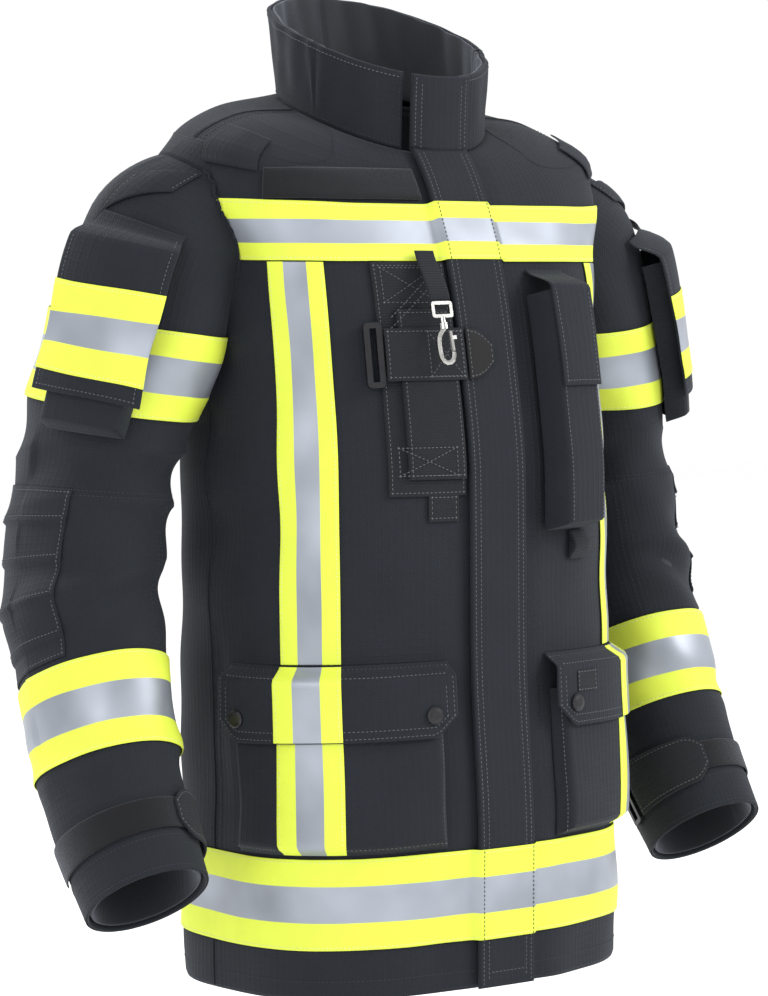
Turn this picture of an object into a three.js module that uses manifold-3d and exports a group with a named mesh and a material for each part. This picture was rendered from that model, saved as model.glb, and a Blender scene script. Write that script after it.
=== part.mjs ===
// A short turnout coat on the shape of a standing wearer, in millimetres, +Z up.
// +X is the wearer's left and -Y is the front. The origin is the middle of the neck opening,
// on the line where the collar is sewn to the body, because the coat hangs from its shoulders.
import * as THREE from "three";
import { mergeVertices } from "three/addons/utils/BufferGeometryUtils.js";
import Module from "manifold-3d";

// ---- Driving dimensions: the body ----
const frontLength = 689; // hem to the collar seam, up the centre front
const halfWidth = 185; // half the width of the body
const hemFront = 155; // the centre front at the hem, ahead of the wearer's axis
const hemBack = 134; // the centre back at the hem, behind the axis
const chestDrop = 91; // collar seam down to the lower edge of the chest trim
const neckHalfWidth = 89;
const neckFront = 60;
const neckBack = 110;
const napeRise = 61; // how far the collar seam's back stands above its front
const shoulderBeyondSide = 12; // how far each shoulder tip stands past the body's side
const shoulderTip = halfWidth + shoulderBeyondSide; // half width between the shoulder tips
const collarHeight = 65;
const collarBackExtra = 17; // how much taller the collar is at the back

// ---- Cloth, gaps and trims ----
const shellCloth = 3; // outer cloth with its moisture layer
const linerCloth = 3;
const linerGap = 3; // air between the shell and the quilted liner
const seamGap = 0.6; // between two pieces that are sewn edge to edge
const layerGap = 0.8; // between two layers that lie on each other
const trimCloth = 1.2;
const wideTrim = 75; // hem and sleeve trims
const narrowTrim = 50; // chest and front trims
const hemTrimRise = 41; // hem edge up to the hem trim
const frontTrimFromCentre = 165; // along the cloth, to the middle of the upright trim
const trimAboveFlap = 5; // clear cloth between a hip flap and the upright trim

// ---- Front closure ----
const panelEdge = 6; // from the centre front to the edge of each front panel
const stormFlapRight = 29; // the free edge, past the centre front
const stormFlapLeft = 27; // the sewn edge
const stormFlapThickness = 4.5;
const flapFace = 7.1; // from the shell to the storm flap's outer face
const zipTapeEdge = 1.5;
const zipTapeWidth = 16.5;
const zipTapeThickness = 1.6;
const sliderWidth = 9;
const sliderHeight = 12;
const pullLength = 16;

// ---- Sleeves ----
const sleeveCloth = 3;
const elbowHeight = 412; // centre of the elbow seam above the hem
const cuffHeight = 88; // centre of the cuff edge above the hem
const cuffBesideBody = 106; // centre of the cuff outside the body's side
const armSpread = halfWidth + cuffBesideBody; // centre of the cuff from the wearer's middle
const bicepsHalf = 66; // half the sleeve from its inner to its outer side
const bicepsDepth = 92; // half the sleeve from front to back
const elbowGap = 0.8;
const upperTrimHeight = 513; // centres of the sleeve trims
const lowerTrimHeight = 222;

// ---- Pockets and their flaps ----
const pocketWall = 1.5;
const flapThickness = 2.5;
const hipFlapTop = 272;
const hipFlapHeight = 62;
const hipFlapInner = 50; // edge nearest the centre front, along the cloth
const hipFlapWidth = 192;
const hipPocketDepth = 12;
const hipPocketSideInset = 6;
const hipPocketBelowFlapTop = 30; // so that the flap's curved ends can drop as it lifts
const studRadius = 7.5;
const studHeight = 3;
const studInset = 20;
const radioPocketInner = 48;
const radioPocketWidth = 54;
const radioPocketTop = 575;
const radioPocketHeight = 200;
const radioPocketDepth = 28;
const radioFlapHeight = 100;
const radioFlapWidth = 42;
const sleevePocketWidth = 70;
const sleevePocketTop = 606;
const sleevePocketHeight = 148;
const sleevePocketDepth = 22;
const sleevePocketAngle = 38; // from straight outwards, round to the front
const sleeveFlapHeight = 132;

// ---- Holder and snap hook ----
const holderInner = 6; // edge nearest the centre front
const holderWidth = 94;
const holderTop = 597;
const holderHeight = 190;
const holderDepth = 2.2;
const holderStrapHeight = 42;
const holderStrapMiddle = 521;
const holderStrapThickness = 2;
const holderRingWire = 2.4;
const hookWire = 2.2;
const hookLength = 30;
const hookHalfWidth = 8.5;
const hookStandOff = 12; // from the strap's face to the hook's own axis

// ---- Small pieces ----
const namePatchWidth = 148;
const namePatchHeight = 25;
const namePatchThickness = 1.6;
const tabLength = 58;
const tabWidth = 34;
const cuffStrapWidth = 44;
const cuffStrapMiddle = 128; // centre of the strap above the hem
const cuffLoopWidth = 27;
const hangerWidth = 60;

const degrees = THREE.MathUtils.degToRad;
const wasm = await Module();
wasm.setup();

// ---- Shapes of the body and the sleeves ----

// A smooth curve through (keys, values) that never overshoots between two of them.
function smoothTable(keys, values) {
  const slope = (i) => (values[i + 1] - values[i]) / (keys[i + 1] - keys[i]);
  const tangents = keys.map((_, i) => {
    if (i === 0) return slope(0);
    if (i === keys.length - 1) return slope(i - 1);
    const before = slope(i - 1);
    const after = slope(i);
    return before * after <= 0 ? 0 : (2 * before * after) / (before + after);
  });
  return (key) => {
    let i = 0;
    while (i < keys.length - 2 && key > keys[i + 1]) i += 1;
    const width = keys[i + 1] - keys[i];
    const t = THREE.MathUtils.clamp((key - keys[i]) / width, 0, 1);
    const rest = 1 - t;
    return (
      values[i] * (1 + 2 * t) * rest * rest +
      tangents[i] * width * t * rest * rest +
      values[i + 1] * t * t * (3 - 2 * t) -
      tangents[i + 1] * width * t * t * rest
    );
  };
}

const chestHeight = frontLength - chestDrop;
const chestTop = chestHeight + narrowTrim - 3;
const neckHeight = frontLength + napeRise;
const collarTop = frontLength + collarHeight;

// Each ring of the body: height at the front, half width, front, back, middle, how much its
// sides are raised, how much its back is raised, and how square its outline is (2 is an ellipse).
const bodyRings = [
  [0, halfWidth + 2, hemFront, hemBack, 2, -4, -4, 2.5],
  [hemTrimRise + wideTrim, halfWidth + 1, hemFront, hemBack + 2, 0, -4, -4, 2.5],
  [hipFlapTop, halfWidth, hemFront - 11, hemBack + 7, -6, -3, -2, 2.5],
  [frontLength - 269, halfWidth - 2, hemFront - 13, hemBack + 10, -12, 0, 0, 2.5],
  [frontLength - 173, halfWidth - 6, hemFront - 27, hemBack + 10, -18, 0, 0, 2.6],
  [chestHeight, halfWidth - 2, neckFront + 48, hemBack + 2, -22, 0, 4, 2.8],
  [chestTop, shoulderTip + 1, neckFront + 28, neckBack + 22, -22, 1, 10, 2.8],
  [frontLength - 29, shoulderTip - 2, neckFront + 20, neckBack + 16, -22, 14, 40, 2.6],
  [frontLength - 15, neckHalfWidth + 61, neckFront + 11, neckBack + 10, -24, 18, 58, 2.4],
  [frontLength, neckHalfWidth, neckFront, neckBack, -24, 8, napeRise, 2.1],
];
const middleCollar = [neckHalfWidth + 2, neckFront + 1, neckBack + 6, -26, 5];
const upperCollar = [neckHalfWidth + 4, neckFront + 3, neckBack + 12, -28, 2];
const collarRings = [
  bodyRings.at(-1),
  [frontLength + collarHeight / 2, ...middleCollar, napeRise + collarBackExtra * 0.6, 2.1],
  [collarTop, ...upperCollar, napeRise + collarBackExtra, 2.1],
];

function ringTables(rings) {
  const keys = rings.map((ring) => ring[0]);
  return rings[0].slice(1).map((_, column) => {
    return smoothTable(
      keys,
      rings.map((ring) => ring[column + 1]),
    );
  });
}
const bodyTables = ringTables(bodyRings);
const collarTables = ringTables(collarRings);

// One ring's quarters, front and back: each a table of angles against lengths along the cloth.
const quarterSteps = 90;
const quartersByHeight = new Map();

function outlineAt(angle, ring) {
  const [half, front, back, middle, , , square] = ring;
  const rounded = (share) => Math.sign(share) * Math.abs(share) ** (2 / square);
  const ahead = Math.cos(angle);
  const depth = ahead > 0 ? front - middle : back + middle;
  return new THREE.Vector2(half * rounded(Math.sin(angle)), middle + depth * rounded(ahead));
}

function quarterTable(ring, from, to) {
  const angles = [];
  const lengths = [];
  let length = 0;
  let last = null;
  for (let i = 0; i <= quarterSteps; i += 1) {
    const angle = THREE.MathUtils.lerp(from, to, i / quarterSteps);
    const here = outlineAt(angle, ring);
    if (last) length += here.distanceTo(last);
    last = here;
    angles.push(angle);
    lengths.push(length);
  }
  return { angles, lengths, total: length };
}

function ringAt(up) {
  const key = Math.round(up * 1000);
  if (!quartersByHeight.has(key)) {
    const tables = up > frontLength ? collarTables : bodyTables;
    const ring = tables.map((table) => table(up));
    const front = quarterTable(ring, 0, Math.PI / 2);
    const back = quarterTable(ring, Math.PI, Math.PI / 2);
    quartersByHeight.set(key, { ring, front, back });
  }
  return quartersByHeight.get(key);
}

function angleIn(quarter, length) {
  const { angles, lengths } = quarter;
  let i = 0;
  while (i < quarterSteps - 1 && length > lengths[i + 1]) i += 1;
  const share = (length - lengths[i]) / (lengths[i + 1] - lengths[i]);
  return THREE.MathUtils.lerp(angles[i], angles[i + 1], share);
}

// Distances along the cloth are those of the ring at the hip flaps. Near the centre front they
// hold at every height, and towards the side they become the same share of each ring's girth.
const sideSeam = ringAt(hipFlapTop).front.total;
const halfGirth = sideSeam + ringAt(hipFlapTop).back.total;
const trueNearFront = 0.12;
const shareFurtherOut = 0.9;

function angleAlong(distance, at) {
  if (distance < 0) return -angleAlong(-distance, at);
  if (distance > halfGirth) return 2 * Math.PI - angleAlong(2 * halfGirth - distance, at);
  if (distance > sideSeam) {
    const left = (halfGirth - distance) / (halfGirth - sideSeam);
    return angleIn(at.back, left * at.back.total);
  }
  const share = distance / sideSeam;
  const stretch = THREE.MathUtils.smoothstep(share, trueNearFront, shareFurtherOut);
  return angleIn(at.front, share * THREE.MathUtils.lerp(sideSeam, at.front.total, stretch));
}

// A point x to the wearer's left, f forwards of the axis and z above the hem.
function place(x, f, z) {
  return new THREE.Vector3(x, -f, z - neckHeight);
}

// The outer face of the body and collar: along is the distance from the centre front, and up
// is the height at which the same ring crosses the centre front.
function bodyFace(along, up) {
  const at = ringAt(up);
  const angle = angleAlong(along, at);
  const [, , , , sideRise, backRise] = at.ring;
  const outline = outlineAt(angle, at.ring);
  const rise = sideRise * Math.sin(angle) ** 2 + (backRise * (1 - Math.cos(angle))) / 2;
  return place(outline.x, outline.y, up + rise);
}

// The ring that crosses a given height above the hem, at a distance along the cloth.
function ringAtLevel(along, level) {
  let [low, high] = [0, frontLength];
  const halvings = 30;
  for (let i = 0; i < halvings; i += 1) {
    const middle = (low + high) / 2;
    if (bodyFace(along, middle).z + neckHeight < level) low = middle;
    else high = middle;
  }
  return (low + high) / 2;
}

function bodyMiddle(along, up) {
  return place(0, -20, up);
}

// Each ring of a sleeve: height of its centre, centre outwards, centre forwards, half width
// and half depth.
const sleeveRings = [
  [cuffHeight, armSpread, 68, 50, 55],
  [cuffHeight + 62, armSpread, 24, 55, 60],
  [cuffHeight + 142, armSpread - 4, -16, 58, 68],
  [elbowHeight - 72, armSpread - 14, -56, 62, 76],
  [elbowHeight, armSpread - 28, -62, bicepsHalf - 3, bicepsDepth - 8],
  [elbowHeight + 108, armSpread - 56, -54, bicepsHalf, bicepsDepth - 4],
  [elbowHeight + 203, armSpread - 91, -42, bicepsHalf + 11, bicepsDepth - 18],
  [elbowHeight + 243, armSpread - 146, -34, bicepsHalf + 1, bicepsDepth - 30],
];
const sleeveTables = ringTables(sleeveRings);
const shoulderStart = sleeveRings.at(-1)[0];
const ringLean = 0.4; // the rings lean outwards by this share of the sleeve's own lean

function sleeveCentre(side, up) {
  const [out, forward] = sleeveTables.map((table) => table(up));
  return place(side * out, forward, up);
}

// The outer face of a sleeve: turn is the angle in degrees from straight outwards round to the
// front, and up is the height of the ring's centre.
function sleeveFace(side) {
  return (turn, up) => {
    const [, , half, depth] = sleeveTables.map((table) => table(up));
    const centre = sleeveCentre(side, up);
    const slightly = 2;
    const low = Math.max(up - slightly, cuffHeight);
    const high = Math.min(up + slightly, shoulderStart);
    const run = sleeveCentre(side, high).sub(sleeveCentre(side, low));
    run.setX(run.x * ringLean).normalize();
    const out = new THREE.Vector3(side, 0, 0).addScaledVector(run, -side * run.x).normalize();
    const forward = new THREE.Vector3().crossVectors(run, out).multiplyScalar(-side);
    if (forward.y > 0) forward.negate();
    return centre
      .addScaledVector(out, half * Math.cos(degrees(turn)))
      .addScaledVector(forward, depth * Math.sin(degrees(turn)));
  };
}

const body = { face: bodyFace, middle: bodyMiddle, step: 1 };
const sleeve = (side) => ({
  face: sleeveFace(side),
  middle: (turn, up) => sleeveCentre(side, up),
  step: 1,
});

// A point lifted off a face along its outward normal.
function lifted(skin, a, b, lift) {
  const d = skin.step;
  const acrossWay = skin.face(a + d, b).sub(skin.face(a - d, b));
  const upWay = skin.face(a, b + d).sub(skin.face(a, b - d));
  const normal = acrossWay.cross(upWay).normalize();
  const here = skin.face(a, b);
  if (here.clone().sub(skin.middle(a, b)).dot(normal) < 0) normal.negate();
  return here.addScaledVector(normal, lift);
}

// ---- Building closed solids ----

function geometryOf(vertices, triangles) {
  const geometry = new THREE.BufferGeometry();
  const numbers = vertices.flatMap((v) => [v.x, v.y, v.z]);
  geometry.setAttribute("position", new THREE.Float32BufferAttribute(numbers, 3));
  geometry.setIndex(triangles);
  return outward(geometry);
}

// Turns a closed geometry's faces outwards.
function outward(geometry) {
  const p = geometry.getAttribute("position");
  const index = geometry.index.array;
  const [a, b, c] = [new THREE.Vector3(), new THREE.Vector3(), new THREE.Vector3()];
  let volume = 0;
  for (let i = 0; i < index.length; i += 3) {
    a.fromBufferAttribute(p, index[i]);
    b.fromBufferAttribute(p, index[i + 1]);
    c.fromBufferAttribute(p, index[i + 2]);
    volume += a.dot(b.cross(c));
  }
  if (volume < 0) geometry.setIndex(Array.from(index).reverse());
  return geometry;
}

const evenShares = (steps) => Array.from({ length: steps + 1 }, (_, i) => i / steps);
const asFunction = (value) => (typeof value === "function" ? value : () => value);

// A sheet of cloth between two lifts off a skin. across and up are [from, to, steps], and up's
// ends and both lifts may be functions of the place across. A closed sheet runs all the way round.
// In place of a number of rows, up may hold a list of the rows' own heights as shares.
function sheet(skin, across, up, inner, outer, closed = false) {
  const [aFrom, aTo, aSteps] = across;
  const [low, high] = [asFunction(up[0]), asFunction(up[1])];
  const shares = Array.isArray(up[2]) ? up[2] : evenShares(up[2]);
  const bSteps = shares.length - 1;
  const lifts = [asFunction(inner), asFunction(outer)];
  const columns = closed ? aSteps : aSteps + 1;
  const vertices = [];
  const id = (i, j, k) => ((i % columns) * (bSteps + 1) + j) * 2 + k;
  for (let i = 0; i < columns; i += 1) {
    const a = aFrom + ((aTo - aFrom) * i) / aSteps;
    for (let j = 0; j <= bSteps; j += 1) {
      const b = THREE.MathUtils.lerp(low(a), high(a), shares[j]);
      lifts.forEach((lift) => vertices.push(lifted(skin, a, b, lift(a, b))));
    }
  }
  const triangles = [];
  const quad = (p, q, r, s) => triangles.push(p, q, r, p, r, s);
  for (let i = 0; i < aSteps; i += 1) {
    for (let j = 0; j < bSteps; j += 1) {
      quad(id(i, j, 1), id(i + 1, j, 1), id(i + 1, j + 1, 1), id(i, j + 1, 1));
      quad(id(i, j, 0), id(i, j + 1, 0), id(i + 1, j + 1, 0), id(i + 1, j, 0));
    }
    quad(id(i, 0, 0), id(i + 1, 0, 0), id(i + 1, 0, 1), id(i, 0, 1));
    quad(id(i, bSteps, 1), id(i + 1, bSteps, 1), id(i + 1, bSteps, 0), id(i, bSteps, 0));
  }
  if (!closed) {
    for (let j = 0; j < bSteps; j += 1) {
      quad(id(0, j, 0), id(0, j, 1), id(0, j + 1, 1), id(0, j + 1, 0));
      const i = aSteps;
      quad(id(i, j, 1), id(i, j, 0), id(i, j + 1, 0), id(i, j + 1, 1));
    }
  }
  return geometryOf(vertices, triangles);
}

// The whole space inside a skin that runs all the way round, closed flat at both ends.
function filled(skin, across, up, lift) {
  const [aFrom, aTo, aSteps] = across;
  const [low, high, bSteps] = up;
  const vertices = [];
  const id = (i, j) => (i % aSteps) * (bSteps + 1) + j;
  for (let i = 0; i < aSteps; i += 1) {
    const a = aFrom + ((aTo - aFrom) * i) / aSteps;
    for (let j = 0; j <= bSteps; j += 1) {
      vertices.push(lifted(skin, a, low + ((high - low) * j) / bSteps, lift));
    }
  }
  const ends = [0, bSteps].map((j) => {
    const centre = new THREE.Vector3();
    for (let i = 0; i < aSteps; i += 1) centre.add(vertices[id(i, j)]);
    return vertices.push(centre.divideScalar(aSteps)) - 1;
  });
  const triangles = [];
  for (let i = 0; i < aSteps; i += 1) {
    for (let j = 0; j < bSteps; j += 1) {
      triangles.push(id(i, j), id(i + 1, j), id(i + 1, j + 1));
      triangles.push(id(i, j), id(i + 1, j + 1), id(i, j + 1));
    }
    triangles.push(id(i + 1, 0), id(i, 0), ends[0]);
    triangles.push(id(i, bSteps), id(i + 1, bSteps), ends[1]);
  }
  return geometryOf(vertices, triangles);
}

function solidOf(geometry) {
  const bare = geometry.clone();
  bare.deleteAttribute("normal");
  bare.deleteAttribute("uv");
  const merged = mergeVertices(bare, 1e-4);
  return new wasm.Manifold(
    new wasm.Mesh({
      numProp: 3,
      vertProperties: new Float32Array(merged.getAttribute("position").array),
      triVerts: new Uint32Array(merged.index.array),
    }),
  );
}

function geometryFrom(solid) {
  const mesh = solid.getMesh();
  const geometry = new THREE.BufferGeometry();
  geometry.setAttribute("position", new THREE.BufferAttribute(mesh.vertProperties, 3));
  geometry.setIndex(new THREE.BufferAttribute(mesh.triVerts, 1));
  return geometry;
}

function without(geometry, ...cutters) {
  const start = solidOf(geometry);
  return geometryFrom(cutters.reduce((solid, cutter) => solid.subtract(cutter), start));
}

function joined(...geometries) {
  const [first, ...others] = geometries.map(solidOf);
  return geometryFrom(others.reduce((solid, other) => solid.add(other), first));
}

// A wire of round section along a curve.
function wire(curve, radius, steps, sides = 8) {
  const section = new THREE.Shape().absarc(0, 0, radius, 0, 2 * Math.PI);
  return new THREE.ExtrudeGeometry(section, {
    steps,
    curveSegments: sides / 2,
    bevelEnabled: false,
    extrudePath: curve,
  });
}

// Where a small hard piece sits: its own Z points out of the cloth and its own Y up the cloth.
function seatOn(skin, a, b, lift) {
  const d = skin.step;
  const upWay = skin.face(a, b + d).sub(skin.face(a, b - d)).normalize();
  const origin = lifted(skin, a, b, lift);
  const out = lifted(skin, a, b, lift + 1).sub(origin).normalize();
  const acrossWay = new THREE.Vector3().crossVectors(upWay, out).normalize();
  const matrix = new THREE.Matrix4().makeBasis(acrossWay, upWay, out);
  return matrix.setPosition(origin);
}

// ---- Finishes ----
const finish = (color, roughness, metalness = 0) =>
  new THREE.MeshStandardMaterial({ color, roughness, metalness });
const finishes = {
  shell: finish(0x23272d, 0.85),
  liner: finish(0x2a2c30, 0.9),
  trim: finish(0xe6f53c, 0.6),
  webbing: finish(0x1b1d20, 0.8),
  loopTape: finish(0x121315, 1),
  leather: finish(0x2b2b2c, 0.55),
  blackMetal: finish(0x1a1b1d, 0.35, 0.7),
  nickel: finish(0xb9bcc0, 0.25, 1),
  plastic: finish(0x17181a, 0.5),
};

const coat = new THREE.Group();
coat.name = "turnout_coat";

function add(name, geometry, material) {
  const mesh = new THREE.Mesh(geometry, material);
  mesh.name = name;
  coat.add(mesh);
  return mesh;
}

const sides = [
  ["right", -1],
  ["left", 1],
];
// Runs a distance range on the wearer's own side, from near the centre front outwards.
const onSide = (side, near, far) => (side > 0 ? [near, far] : [-far, -near]);

// ---- Cutters that keep the sleeves and the body apart ----
const bodySpace = (lift) =>
  solidOf(filled(body, [-halfGirth, halfGirth, 52], [0, frontLength, 30], lift));
const sleeveSpace = (side, lift) =>
  solidOf(filled(sleeve(side), [0, 360, 20], [elbowHeight, shoulderStart, 8], lift));
const armholes = sides.map(([, side]) => sleeveSpace(side, layerGap));
const bodyCutter = bodySpace(layerGap);

// ---- The shell, liner and collar ----
const panelRows = bodyRings.flatMap(([height], i) => {
  const next = bodyRings[i + 1];
  return next ? [height, (height + next[0]) / 2] : [height];
}).map((height) => height / frontLength);

// The rows of a strip up the centre front, so that it bends where the panels bend.
function frontRows(low, high) {
  const heights = [...bodyRings, ...collarRings.slice(1)].flatMap(([height], i, rings) => {
    const before = rings[i - 1];
    return before ? [(height + before[0]) / 2, height] : [height];
  });
  const inside = heights.filter((height) => height > low + 2 && height < high - 2);
  return [low, ...inside, high].map((height) => (height - low) / (high - low));
}

function makeShell() {
  const rows = panelRows;
  sides.forEach(([name, side], i) => {
    const [near, far] = onSide(side, panelEdge, sideSeam - seamGap / 2);
    const panel = sheet(body, [near, far, 13], [0, frontLength, rows], -shellCloth, 0);
    add(`front_${name}_panel`, without(panel, armholes[i]), finishes.shell);
  });
  const backStart = sideSeam + seamGap / 2;
  const back = [backStart, 2 * halfGirth - backStart, 22];
  const panel = sheet(body, back, [0, frontLength, rows], -shellCloth, 0);
  add("back_panel", without(panel, ...armholes), finishes.shell);

  const linerOuter = -shellCloth - linerGap;
  const linerEdge = zipTapeEdge + zipTapeWidth + 5;
  const hemTurnUp = 14;
  const lining = sheet(
    body,
    [linerEdge, 2 * halfGirth - linerEdge, 20],
    [hemTurnUp, frontLength - 4, 9],
    linerOuter - linerCloth,
    linerOuter,
  );
  add("body_liner", without(lining, ...armholes), finishes.liner);
}

function makeCollar() {
  const collarCloth = 4;
  const leftEnd = zipTapeEdge + zipTapeWidth + 3;
  const rightEnd = stormFlapRight + 5;
  const across = [leftEnd, 2 * halfGirth - rightEnd, 26];
  const up = [frontLength + seamGap, collarTop, 3];
  add("collar_shell", sheet(body, across, up, -collarCloth, 0), finishes.shell);
  const lining = -collarCloth - layerGap;
  const liningUp = [frontLength + seamGap, collarTop - 1, 3];
  add("collar_liner", sheet(body, across, liningUp, lining - 2, lining), finishes.liner);

  const hangerUp = [frontLength + 12, frontLength + 20, 1];
  const hangerHalf = (hangerWidth * sideSeam) / (Math.PI * neckHalfWidth);
  const hangerAcross = [halfGirth - hangerHalf, halfGirth + hangerHalf, 6];
  const hangerLift = lining - 2 - layerGap;
  const hanger = sheet(body, hangerAcross, hangerUp, hangerLift - 1.6, hangerLift);
  add("hanger_loop", hanger, finishes.webbing);
}

// ---- The front closure ----
function makeClosure() {
  const tapeOuter = -shellCloth - layerGap;
  const tapeEnds = [hemTrimRise, collarTop - 4];
  const tapeUp = [...tapeEnds, frontRows(...tapeEnds)];
  for (const [name, side] of sides) {
    const [near, far] = onSide(side, zipTapeEdge, zipTapeEdge + zipTapeWidth);
    const tape = sheet(body, [near, far, 1], tapeUp, tapeOuter - zipTapeThickness, tapeOuter);
    add(`zip_tape_${name}`, tape, finishes.webbing);
  }
  const sliderSeat = seatOn(body, 0, collarTop - 14, tapeOuter + layerGap);
  const sliderDepth = 3;
  const slider = new THREE.BoxGeometry(sliderWidth, sliderHeight, sliderDepth);
  slider.translate(0, 0, sliderDepth / 2);
  const pullShape = new THREE.Shape()
    .moveTo(-3, 0)
    .lineTo(3, 0)
    .lineTo(2.2, -pullLength)
    .absarc(0, -pullLength, 2.2, 0, -Math.PI, true)
    .lineTo(-3, 0);
  const pull = new THREE.ExtrudeGeometry(pullShape, {
    depth: 1.4,
    bevelEnabled: false,
    curveSegments: 6,
  });
  pull.translate(0, 3, sliderDepth - 0.3);
  add("zip_slider", joined(slider, pull).applyMatrix4(sliderSeat), finishes.blackMetal);

  const flap = sheet(
    body,
    [-stormFlapRight, stormFlapLeft, 3],
    [0, collarTop - 0.5, frontRows(0, collarTop - 0.5)],
    flapFace - stormFlapThickness,
    flapFace,
  );
  add("storm_flap", flap, finishes.shell);
}

// ---- Reflective trims ----
const trimLift = 1.1; // from the shell to the back of a trim
const trimLifts = [trimLift, trimLift + trimCloth];

function makeTrims() {
  const beside = 3;
  const bands = [
    ["chest_trim", chestHeight, chestHeight + narrowTrim - 3, 2],
    ["hem_trim", hemTrimRise, hemTrimRise + wideTrim, 1],
  ];
  for (const [band, low, high, rows] of bands) {
    sides.forEach(([name, side], i) => {
      const edge = (side > 0 ? stormFlapLeft : stormFlapRight) + beside;
      const [near, far] = onSide(side, edge, sideSeam - seamGap / 2);
      const strip = sheet(body, [near, far, 14], [low, high, rows], ...trimLifts);
      add(`${band}_${name}`, without(strip, armholes[i]), finishes.trim);
    });
    const start = sideSeam + seamGap / 2;
    const across = [start, 2 * halfGirth - start, 26];
    const strip = sheet(body, across, [low, high, rows], ...trimLifts);
    add(`${band}_back`, without(strip, ...armholes), finishes.trim);
  }
  for (const [i, [name, side]] of sides.entries()) {
    const half = narrowTrim / 2;
    const across = onSide(side, frontTrimFromCentre - half, frontTrimFromCentre + half);
    const up = [hipFlapTop + trimAboveFlap, chestHeight - 2, 12];
    const strip = sheet(body, [...across, 3], up, ...trimLifts);
    add(`front_trim_${name}`, without(strip, armholes[i]), finishes.trim);
  }
}

// ---- Sleeves, their trims and cuffs ----
function makeSleeves() {
  for (const [name, side] of sides) {
    const skin = sleeve(side);
    const upper = sheet(
      skin,
      [0, 360, 20],
      [elbowHeight + elbowGap / 2, shoulderStart - 2 * layerGap, 8],
      -sleeveCloth,
      0,
      true,
    );
    add(`upper_sleeve_${name}`, without(upper, bodyCutter), finishes.shell);
    const lowerUp = [cuffHeight, elbowHeight - elbowGap / 2, 6];
    const lower = sheet(skin, [0, 360, 20], lowerUp, -sleeveCloth, 0, true);
    add(`forearm_${name}`, lower, finishes.shell);

    const trims = [
      ["upper", upperTrimHeight],
      ["lower", lowerTrimHeight],
    ];
    for (const [level, centre] of trims) {
      const half = sleeveHeightOf(side, centre, wideTrim) / 2;
      const up = [centre - half, centre + half, 2];
      const ring = sheet(skin, [0, 360, 20], up, ...trimLifts, true);
      const strip = level === "upper" ? without(ring, bodyCutter) : ring;
      add(`${level}_sleeve_trim_${name}`, strip, finishes.trim);
    }
    makeCuff(name, side);
  }
}

// The change of height that a length along the sleeve has at a given height.
function sleeveHeightOf(side, height, length) {
  const reach = 10;
  const low = sleeveCentre(side, height - reach);
  const high = sleeveCentre(side, height + reach);
  return (length * 2 * reach) / high.distanceTo(low);
}

const cuffRingTurn = 196;
const cuffStrapTip = 106;

function makeCuff(name, side) {
  const skin = sleeve(side);
  const loopHalf = sleeveHeightOf(side, cuffStrapMiddle, cuffLoopWidth) / 2;
  const strapHalf = sleeveHeightOf(side, cuffStrapMiddle, cuffStrapWidth) / 2;
  const loopUp = [cuffStrapMiddle - loopHalf, cuffStrapMiddle + loopHalf, 1];
  const loopLifts = [2 * layerGap, 2 * layerGap + 1.4];
  const loop = sheet(skin, [-36, 180, 12], loopUp, ...loopLifts);
  add(`cuff_loop_tape_${name}`, loop, finishes.loopTape);

  const strapInner = loopLifts[1] + layerGap;
  const strapThickness = 2.2;
  const tipStart = cuffStrapTip + 18;
  const taper = (turn) => {
    if (turn > tipStart) return 1;
    const share = (tipStart - turn) / (tipStart - cuffStrapTip);
    return 1 - 0.62 * share * share;
  };
  const strapUp = [
    (turn) => cuffStrapMiddle - strapHalf * taper(turn),
    (turn) => cuffStrapMiddle + strapHalf * taper(turn),
    2,
  ];
  const strapAcross = [cuffStrapTip, cuffRingTurn - 12, 8];
  const strapLifts = [strapInner, strapInner + strapThickness];
  const strap = sheet(skin, strapAcross, strapUp, ...strapLifts);
  add(`cuff_strap_${name}`, strap, finishes.webbing);

  const ringWire = 2;
  const ringHalf = cuffStrapWidth / 2 + ringWire + 1;
  const seat = seatOn(skin, cuffRingTurn, cuffStrapMiddle, ringWire + layerGap);
  add(`cuff_ring_${name}`, ringLoop(5.5, ringHalf, ringWire, seat), finishes.plastic);
}

// The outline of a rectangle with rounded corners, each point once.
function roundedCorners(x, y, corner) {
  const steps = 3;
  const centres = [[x - corner, y - corner], [corner - x, y - corner]];
  centres.push([corner - x, corner - y], [x - corner, corner - y]);
  return centres.flatMap(([cx, cy], quarter) =>
    evenShares(steps).map((share) => {
      const angle = (quarter + share) * (Math.PI / 2);
      return new THREE.Vector2(cx + corner * Math.cos(angle), cy + corner * Math.sin(angle));
    }),
  );
}

// A rectangular wire ring with rounded corners, lying flat on its seat.
function ringLoop(halfAcross, halfUp, radius, seat) {
  const corner = 1.5 * radius;
  const outline = new THREE.Shape(roundedCorners(halfAcross + radius, halfUp + radius, corner));
  const hole = new THREE.Path();
  const [hx, hy] = [halfAcross - radius, halfUp - radius];
  hole.moveTo(-hx, -hy).lineTo(-hx, hy).lineTo(hx, hy).lineTo(hx, -hy).lineTo(-hx, -hy);
  outline.holes.push(hole);
  const ring = new THREE.ExtrudeGeometry(outline, {
    depth: 2 * radius,
    bevelEnabled: false,
  });
  return ring.translate(0, 0, -radius).applyMatrix4(seat);
}

// ---- Pockets ----

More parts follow.
